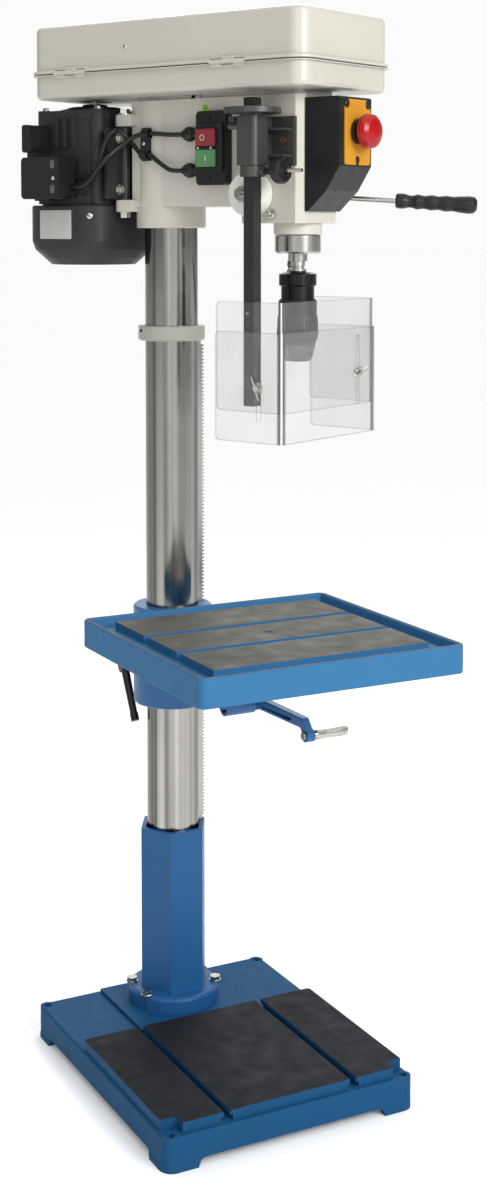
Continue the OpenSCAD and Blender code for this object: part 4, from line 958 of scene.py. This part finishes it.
def socket_head_tree() -> bpy.types.GeometryNodeTree:
    """Round head with a hexagon socket.

    Returns:
        The tree.
    """
    tree = Tree(Fastener.SOCKET.value, {"Radius": 0.0045, "Height": 0.004, "Key": 0.0024})
    radius, height = tree.given["Radius"], tree.given["Height"]
    head = tree.up(tree.drum(32, radius, height), tree.maths("MULTIPLY", height, 0.5))
    key = tree.up(tree.drum(6, tree.given["Key"], height), tree.maths("MULTIPLY", height, 0.9))
    return tree.scatter(tree.cut(head, key))


HEAD_TREES: dict[Fastener, Callable[[], bpy.types.GeometryNodeTree]] = {
    Fastener.HEX: hex_head_tree, Fastener.PAN: pan_head_tree, Fastener.SOCKET: socket_head_tree}


def lead_tree() -> bpy.types.GeometryNodeTree:
    """Round lead along a path of given points, smoothed through them.

    Returns:
        The tree.
    """
    tree = Tree("leads", {"Radius": 0.004, "Spacing": 0.003})
    path = tree.node("GeometryNodeMeshToCurve", {"Mesh": tree.given["Geometry"]}).outputs[0]
    smooth = tree.node("GeometryNodeCurveSplineType", {"Curve": path}, spline_type="CATMULL_ROM")
    fine = tree.node("GeometryNodeResampleCurve", {"Curve": smooth.outputs[0],
                     "Length": tree.given["Spacing"]}, mode="LENGTH")
    ring = tree.node("GeometryNodeCurvePrimitiveCircle", {"Resolution": 16,
                     "Radius": tree.given["Radius"]})
    skin = tree.node("GeometryNodeCurveToMesh", {"Curve": fine.outputs[0],
                     "Profile Curve": ring.outputs[0], "Fill Caps": True})
    return tree.end(skin.outputs[0])


def grown(shop: Shop, name: str, tree: bpy.types.GeometryNodeTree, source: bpy.types.Mesh,
          finish: Finish, body: str | None, sizes: dict[str, float]) -> bpy.types.Object:
    """Runs a tree on a source mesh and keeps the plain result.

    Args:
        shop: The maker of pieces.
        name: The piece's name.
        tree: The Geometry Nodes tree.
        source: Points or a path, in the row frame in metres.
        finish: The piece's finish.
        body: The body that it rides on, or None.
        sizes: Values of the tree's inputs, in metres.

    Returns:
        The piece.
    """
    seed = bpy.data.objects.new("seed", source)
    bpy.context.scene.collection.objects.link(seed)
    modifier = seed.modifiers.new("grow", "NODES")
    modifier.node_group = tree
    items = tree.interface.items_tree
    ids = {item.name: item.identifier for item in items if item.in_out == "INPUT"}
    for key, value in sizes.items():
        modifier[ids[key]] = value
    modifier[ids["Finish"]] = shop.material(finish)
    graph = bpy.context.evaluated_depsgraph_get()
    mesh = bpy.data.meshes.new_from_object(seed.evaluated_get(graph))
    seed.modifiers.remove(modifier)
    bpy.data.objects.remove(seed)
    return shop.add(name, mesh, finish, body)


@dataclass(frozen=True)
class Fixings:
    """Screw heads or rivets of one size on one body.

    Points are in millimetres, in the frame that they are fitted in, and sizes are in metres.
    """

    name: str
    kind: Fastener
    sizes: dict[str, float]
    facing: Point
    at: tuple[Point, ...]
    finish: Finish = PLATED
    body: str = "head"

    def fit(self, shop: Shop, place: Matrix) -> None:
        """Makes the fixings.

        Args:
            shop: The maker of pieces.
            place: The frame that the points are given in.
        """
        mesh = bpy.data.meshes.new("marks")
        mesh.from_pydata([place @ Vector(point) for point in self.at], [], [])
        facing = mesh.attributes.new("facing", "FLOAT_VECTOR", "POINT")
        turn = place.to_3x3().normalized()
        for row in facing.data:
            row.vector = turn @ Vector(self.facing)
        tree = HEAD_TREES[self.kind]()
        grown(shop, self.name, tree, mesh, self.finish, self.body, self.sizes)


@dataclass
class Stand:
    """Base, pedestal, column and rack, with the tray table on its bracket."""

    base: MachinedTop = MachinedTop("base_casting", BASE_BLUE, height=0.071,
                                    colour=(0.013, 0.014, 0.017), roughness=0.6, metal=0.0)
    table: MachinedTop = MachinedTop("table_casting", MATT_BLUE, height=0.796,
                                     colour=(0.078, 0.075, 0.064), roughness=0.58, metal=0.2)
    ring_screw: Fixings = Fixings(
        "ring_set_screw", Fastener.SOCKET, {"Radius": 0.0029, "Height": 0.0015, "Key": 0.0016},
        LEFT, ((-57.9, 0.0, 1257.0),), DARK, "stand")

    def build(self, shop: Shop) -> None:
        """Dresses the stand and the table.

        Args:
            shop: The maker of pieces.
        """
        shop.dress(self.base, "base")
        shop.dress(self.table, "table")
        shop.dress(LEG_BLUE, "pedestal")
        shop.dress(BLUE, "table_bracket", "crank_arm")
        shop.dress(PLATED, "flange_bolts", "table_bolts")
        shop.dress(COLUMN_STEEL, "column")
        shop.dress(CUT_STEEL, "rack", "lift_gear")
        shop.dress(RING_CREAM, "column_ring")
        shop.dress(STEEL, "crank_shaft", "crank_grip")
        shop.dress(DARK, "clamp_lever")
        self.ring_screw.fit(shop, shop.column)


@dataclass
class Head:
    """Head casting, belt guard and the small fittings on them."""

    fixings: tuple[Fixings, ...] = (
        Fixings("lid_screw", Fastener.PAN, {"Radius": 0.0042, "Height": 0.0026},
                LEFT, ((-126.0, -5.7, 1735.8),), body="lid"),
        Fixings("head_lock_screws", Fastener.SOCKET,
                {"Radius": 0.0048, "Height": 0.0035, "Key": 0.0025},
                RIGHT, grid((55.0,), (-30.0, 12.0), (1480.0,)), DARK),
        Fixings("gib_nut", Fastener.HEX,
                {"Flats": 0.013, "Head": 0.005, "Washer": 0.0088, "Thickness": 0.0014},
                LEFT, ((-55.0, -258.0, 1457.0),)))
    gib_at: Point = (-55.0, -258.0, 1457.0)
    gib_stud: Profile = ((0.0, 0.0), (3.0, 0.0), (3.0, 10.0), (2.4, 10.8), (0.0, 10.8))
    dot_at: Point = (-55.0, -120.0, 1633.5)
    dot_rim: Profile = ((0.0, 0.0), (7.4, 0.0), (7.4, 0.35), (0.0, 0.35))
    dot: Profile = ((0.0, 0.3), (5.4, 0.3), (5.4, 0.55), (0.0, 0.55))

    def build(self, shop: Shop) -> None:
        """Dresses the head and adds its fittings.

        Args:
            shop: The maker of pieces.
        """
        shop.dress(CAST_CREAM, "head_casting")
        shop.dress(CREAM, "guard_tray", "guard_lid")
        shop.dress(LIGHT_CREAM, "spring_cap")
        shop.dress(CREAM, "guard_hinges")
        shop.dress(PLATED, "lug_bolts")
        shop.dress(CUT_STEEL, "return_spring", "idler_arm")
        shop.dress(ALLOY, "idler_pulley", "spindle_pulley")
        shop.dress(BELT, "drive_belts")
        for fixings in self.fixings:
            fixings.fit(shop, shop.head)
        gib = shop.head @ basis(self.gib_at, LEFT)
        shop.add("gib_stud", lathe(self.gib_stud, gib, steps=24), PLATED, "head")
        spot = shop.head @ basis(self.dot_at, LEFT)
        shop.add("dot_rim", lathe(self.dot_rim, spot), LEMON, "head")
        shop.add("dot", lathe(self.dot, spot), LIME, "head")


@dataclass
class Motor:
    """Motor, its terminal boxes and cowl, and the pulley on its shaft."""

    plate: Plate = Plate(width=74.0, depth=50.0, height=0.8, corner=2.0, edge=0.3)
    plate_at: Point = (-111.9, 169.0, 1440.0)
    plate_rivets: Fixings = Fixings(
        "data_plate_rivets", Fastener.PAN, {"Radius": 0.0016, "Height": 0.0008},
        LEFT, grid((-112.6,), (135.5, 202.5), (1418.5, 1461.5)), body="motor")
    cowl_screw: Fixings = Fixings(
        "cowl_screw", Fastener.PAN, {"Radius": 0.0058, "Height": 0.003},
        (-0.85, -0.53, 0.0), ((-104.0, 96.0, 1455.0),), body="motor")
    terminal_screw: Fixings = Fixings(
        "terminal_screw", Fastener.PAN, {"Radius": 0.0036, "Height": 0.002},
        LEFT, ((-150.4, 138.7, 1519.5),), body="motor")
    # Thin patch that carries the painted highlight of a notch.
    notch_highlight: Plate = Plate(width=10.0, depth=14.0, height=0.5, corner=2.5, edge=0.2)
    notch_highlights_at: tuple[Point, ...] = grid((-150.1,), (140.0,), (1543.0, 1501.0))
    tie_bolts: Fixings = Fixings(
        "motor_tie_bolts", Fastener.HEX,
        {"Flats": 0.010, "Head": 0.005, "Washer": 0.0072, "Thickness": 0.0012},
        UP, grid((-81.0, 41.0), (97.0, 219.0), (1639.0,)), body="motor")
    bracket_bolts: Fixings = Fixings(
        "motor_plate_bolts", Fastener.HEX,
        {"Flats": 0.013, "Head": 0.0055, "Washer": 0.0095, "Thickness": 0.0018},
        FRONT, grid((-70.0, 30.0), (58.0,), (1500.0, 1588.0)), body="motor")

    def build(self, shop: Shop) -> None:
        """Dresses the motor and adds screws, the bare data plate and light grey patches in the
        boxes' notches, painted as highlights.

        Args:
            shop: The maker of pieces.
        """
        shop.dress(BLACK, "motor_plate")
        shop.dress(MOTOR_BLACK, "motor_housing", "fan_cowl")
        shop.dress(PLASTIC, "terminal_boxes", "cooling_fan")
        shop.dress(STEEL, "rotor")
        shop.dress(ALLOY, "motor_pulley")
        plate = self.plate.mesh(shop.head @ basis(self.plate_at, LEFT))
        shop.add("data_plate", plate, BARE_PLATE, "motor")
        for fixings in (self.plate_rivets, self.cowl_screw, self.terminal_screw):
            fixings.fit(shop, shop.head)
        # Painted highlights: light grey patches where the boxes' notches catch the light.
        for number, at in enumerate(self.notch_highlights_at):
            notch_highlight = self.notch_highlight.mesh(shop.head @ basis(at, LEFT))
            shop.add(f"terminal_notch_highlight_{number}", notch_highlight, NOTCH_HIGHLIGHT, "motor")
        for fixings in (self.tie_bolts, self.bracket_bolts):
            fixings.fit(shop, shop.head)


@dataclass
class Drilling:
    """Quill, spindle, chuck and the feed handles."""

    def build(self, shop: Shop) -> None:
        """Dresses the drilling parts.

        Args:
            shop: The maker of pieces.
        """
        shop.dress(STEEL, "quill", "quill_collar", "quill_bearings", "spindle", "feed_rods",
                   "feed_shaft")
        shop.dress(CHUCK_BODY, "chuck_body")
        shop.dress(CHUCK_SLEEVE, "chuck_sleeve")
        shop.dress(CUT_STEEL, "chuck_jaw_1", "chuck_jaw_2", "chuck_jaw_3")
        shop.dress(PLASTIC, "feed_hub", "feed_grips")


@dataclass
class Electrics:
    """Switch, leads and emergency stop."""

    upper: tuple[Point, ...] = (
        (-69, -84, 1590), (-69, -70, 1590), (-68, -48, 1591), (-66, -26, 1593), (-66, -10, 1594),
        (-66, 8, 1594), (-70, 21, 1590), (-77, 32, 1583), (-84, 41, 1574), (-93, 47, 1566),
        (-102, 52, 1557), (-109, 60, 1546), (-113, 72, 1531), (-114, 86, 1516), (-114, 100, 1508),
        (-114, 113, 1506), (-114, 130, 1506))
    lower: tuple[Point, ...] = (
        (-69, -84, 1530), (-69, -70, 1530), (-68, -54, 1532), (-66, -38, 1539), (-66, -22, 1549),
        (-66, -10, 1557), (-66, -2, 1559), (-66, 8, 1560), (-66, 17, 1564), (-66, 26, 1573),
        (-69, 35, 1584), (-76, 42, 1594), (-85, 47, 1600), (-94, 50, 1598), (-101, 55, 1590),
        (-104, 61, 1578), (-104, 67, 1562), (-104, 73, 1545), (-104, 81, 1532), (-104, 93, 1523),
        (-104, 108, 1520), (-104, 130, 1520))
    lead_radius: float = 0.004
    lead_spacing: float = 0.0025
    bend_start: Point = (-66, 12, 1560)
    bend_end: Point = (-100, 70, 1560)
    off_ring: Profile = ((3.9, 0.0), (3.9, 0.4), (5.0, 0.4), (5.0, 0.0), (3.9, 0.0))
    off_at: Point = (-82.0, -134.0, 1583.0)
    on_bar: Plate = Plate(width=1.8, depth=10.0, height=0.4, corner=0.6, edge=0.1)
    on_at: Point = (-81.0, -140.0, 1549.0)
    fixings: tuple[Fixings, ...] = (
        Fixings("switch_screws", Fastener.PAN, {"Radius": 0.0028, "Height": 0.0014},
                LEFT, grid((-71.0,), (-145.0,), (1616.0, 1516.0)), DARK),
        Fixings("hasp_screws", Fastener.PAN, {"Radius": 0.0024, "Height": 0.0014},
                LEFT, grid((-80.5,), (-151.0, -124.0), (1566.0,))),
        Fixings("saddle_screw", Fastener.PAN, {"Radius": 0.0034, "Height": 0.002},
                LEFT, ((-72.0, 1.0, 1577.0),)),
        Fixings("estop_plate_screws", Fastener.PAN, {"Radius": 0.0042, "Height": 0.0026}, FRONT,
                ((-27.3, -383.0, 1632.0), (32.7, -383.0, 1632.0), (2.7, -383.0, 1543.0)), DARK))

    def build(self, shop: Shop) -> None:
        """Dresses the electrics, and adds leads, symbols and screws.

        Args:
            shop: The maker of pieces.
        """
        shop.dress(PLASTIC, "switch_box", "lead_fittings", "estop_box")
        shop.dress(KEY_RED, "stop_button")
        shop.dress(RED, "estop_button")
        shop.dress(GREEN, "start_button")
        shop.dress(YELLOW, "estop_plate")
        self.leads(shop)
        ring = lathe(self.off_ring, shop.head @ basis(self.off_at, LEFT), steps=40)
        shop.add("off_symbol", ring, WHITE, "stop_key")
        bar = self.on_bar.mesh(shop.head @ basis(self.on_at, LEFT))
        shop.add("on_symbol", bar, WHITE, "start_key")
        for fixings in self.fixings:
            fixings.fit(shop, shop.head)

    def leads(self, shop: Shop) -> None:
        """Makes the two leads; they ride on no body.

        Args:
            shop: The maker of pieces.
        """
        verts: list[Vector] = []
        edges: list[tuple[int, int]] = []
        for route in (self.upper, self.lower):
            start = len(verts)
            verts += [shop.head @ Vector(p) for p in route]
            edges += [(i, i + 1) for i in range(start, len(verts) - 1)]
        path = bpy.data.meshes.new("lead_path")
        path.from_pydata(verts, edges, [])
        piece = grown(shop, "leads", lead_tree(), path, RUBBER, None,
                      {"Radius": self.lead_radius, "Spacing": self.lead_spacing})
        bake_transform(piece)
        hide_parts("switch_leads")


@dataclass
class ChuckGuard:
    """Post, bar, knob and clear panels of the chuck guard."""

    pin: Profile = ((0.0, 0.0), (3.1, 0.0), (3.1, 40.0), (2.4, 41.0), (0.0, 41.0))
    pin_at: Point = (-103.0, -311.0, 1525.0)
    bar_screws: Fixings = Fixings(
        "bar_screws", Fastener.PAN, {"Radius": 0.0052, "Height": 0.0003},
        LEFT, grid((-115.95,), (-254.0,), (1178.0, 1298.0)), DARK, "guard_slide")
    bracket_screw: Fixings = Fixings(
        "bracket_screw", Fastener.SOCKET, {"Radius": 0.006, "Height": 0.004, "Key": 0.003},
        LEFT, ((-65.8, -290.0, 1575.0),), BRASS)

    def build(self, shop: Shop) -> None:
        """Dresses the guard, and adds its screws and the knob's pin.

        Args:
            shop: The maker of pieces.
        """
        shop.dress(GREY_BLACK, "guard_bracket", "guard_pivot")
        shop.dress(BLACK, "guard_bar")
        shop.dress(PLASTIC, "guard_knob")
        pin = lathe(self.pin, shop.head @ basis(self.pin_at, FRONT), steps=24)
        shop.add("knob_pin", pin, STEEL, "guard_screw")
        shop.dress(CLEAR, "upper_panel", "lower_panel")
        shop.dress(PLATED, "wing_nuts")
        self.bar_screws.fit(shop, shop.head)
        self.bracket_screw.fit(shop, shop.head)


@dataclass(frozen=True)
class Lamp:
    """One square soft light: its place, side in metres and power in watts."""

    at: Point
    size: float
    power: float


@dataclass
class Studio:
    """Floor, light and the camera of the photograph."""

    camera_at: Point = (-1.3119, -2.5991, 1.4385)
    heading: float = 27.65
    pitch: float = -4.37
    lens: float = 52.82
    sensor: float = 36.0
    shift: float = -0.2
    aim: Point = (0.0, 0.0, 1.0)
    lamps: tuple[Lamp, ...] = (
        Lamp((0.75, -3.50, 2.5), size=1.5, power=100.0),
        Lamp((-2.5, -2.9, 2.6), size=1.2, power=12.0),
        Lamp((1.6, 2.6, 3.2), size=2.0, power=40.0))
    surround: tuple[tuple[float, float], ...] = (
        (-180, 1.0), (-158, 1.0), (-138, 0.2), (-100, 0.14), (-93, 0.5), (-84, 0.5), (-76, 0.08),
        (-36, 0.08), (-27, 1.0), (-2, 0.7), (28, 0.7), (33, 1.2), (46, 1.2), (51, 0.2), (59, 0.2),
        (62, 0.8), (68, 0.8), (74, 0.08), (138, 0.14), (158, 1.0), (180, 1.0))
    horizon: float = 0.965
    horizon_height: float = 0.16
    overhead: float = 1.2
    overhead_from: float = 0.45
    overhead_full: float = 0.8
    backdrop: float = 0.965
    floor_half: float = 90.0
    floor_tones: tuple[Colour, Colour] = ((0.94, 0.94, 0.94), (0.96, 0.96, 0.96))
    floor_roughness: float = 0.75
    floor_glow: float = 0.085

    def build(self) -> None:
        """Makes the stage, lights and camera, with plain colours as in the photograph."""
        bpy.context.scene.view_settings.view_transform = "Standard"
        self.floor()
        self.world()
        for number, lamp in enumerate(self.lamps):
            self.hang(f"soft_light_{number}", lamp)
        self.camera()

    def floor(self) -> None:
        """A plain pale floor."""
        far = self.floor_half
        mesh = bpy.data.meshes.new("floor")
        mesh.from_pydata([(-far, -far, 0), (far, -far, 0), (far, far, 0), (-far, far, 0)], [],
                         [(0, 1, 2, 3)])
        floor = bpy.data.objects.new("floor", mesh)
        bpy.context.scene.collection.objects.link(floor)
        graph = Graph("pale_floor")
        tone = graph.blend(graph.noise(0.8, detail=2.0), *self.floor_tones)
        mesh.materials.append(graph.finish(Base_Color=tone, Roughness=self.floor_roughness,
                                           Emission_Strength=self.floor_glow))

    def world(self) -> None:
        """One plain pale backdrop, which lights the machine as soft strips and dim sides would.

        The strips are given by their bearing from the camera's heading. Higher up they give way to
        an even overhead light, and the camera itself sees the backdrop in one tone.
        """
        world = bpy.data.worlds.new("studio")
        world.use_nodes = True
        bpy.context.scene.world = world
        nodes = Nodes(world.node_tree)
        back = next(n for n in nodes.tree.nodes if n.type == "BACKGROUND")
        back.inputs["Color"].default_value = (1.0, 1.0, 1.0, 1.0)
        way = nodes.node("ShaderNodeTexCoord").outputs["Generated"]
        inputs = {"Vector": way, "Angle": math.radians(self.heading + 90.0)}
        turned = nodes.node("ShaderNodeVectorRotate", inputs, rotation_type="Z_AXIS")
        parts = nodes.node("ShaderNodeSeparateXYZ", {"Vector": turned.outputs["Vector"]}).outputs
        bearing = nodes.spread(nodes.maths("ARCTAN2", parts["Y"], parts["X"]), -math.pi, math.pi)
        ramp = nodes.node("ShaderNodeValToRGB", {"Fac": bearing})
        peak = max(value for _, value in self.surround)
        set_stops(ramp, [((degrees + 180.0) / 360.0, (value / peak,) * 3)
                         for degrees, value in self.surround])
        strips = nodes.maths("MULTIPLY", ramp.outputs["Color"], peak)
        near = nodes.spread(parts["Z"], 0.0, self.horizon_height, self.horizon, 1.0)
        sides = nodes.maths("MULTIPLY", strips, near)
        rise = nodes.spread(parts["Z"], self.overhead_from, self.overhead_full)
        light = nodes.spread(rise, 0.0, 1.0, sides, self.overhead)
        seen = nodes.node("ShaderNodeLightPath").outputs["Is Camera Ray"]
        strength = nodes.spread(seen, 0.0, 1.0, light, self.backdrop)
        nodes.tree.links.new(strength, back.inputs["Strength"])

    def hang(self, name: str, lamp: Lamp) -> None:
        """Hangs a lamp, turned to the middle of the machine.

        Args:
            name: Its name.
            lamp: Its place, size and power.
        """
        light = bpy.data.lights.new(name, "AREA")
        light.shape = "SQUARE"
        light.size = lamp.size
        light.energy = lamp.power
        made = bpy.data.objects.new(name, light)
        made.location = lamp.at
        away = Vector(self.aim) - Vector(lamp.at)
        made.rotation_euler = away.to_track_quat("-Z", "Y").to_euler()
        bpy.context.scene.collection.objects.link(made)

    def camera(self) -> None:
        """The camera at the photograph's place and angle."""
        lens = bpy.data.cameras.new("camera")
        lens.lens = self.lens
        lens.shift_y = self.shift
        lens.sensor_width = self.sensor
        camera = bpy.data.objects.new("camera", lens)
        camera.location = self.camera_at
        camera.rotation_euler = (math.radians(90.0 + self.pitch), 0.0, math.radians(-self.heading))
        bpy.context.scene.collection.objects.link(camera)
        bpy.context.scene.camera = camera


def main() -> None:
    """Builds the looks of the drill, class by class."""
    logging.basicConfig(level=logging.INFO, format="%(message)s")
    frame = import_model()
    shop = Shop(frame)
    Studio().build()
    for part in (Stand(), Head(), Motor(), Drilling(), Electrics(), ChuckGuard()):
        part.build(shop)
        LOG.info("finished %s", type(part).__name__)
    bpy.context.view_layer.update()


if __name__ == "__main__":
    main()
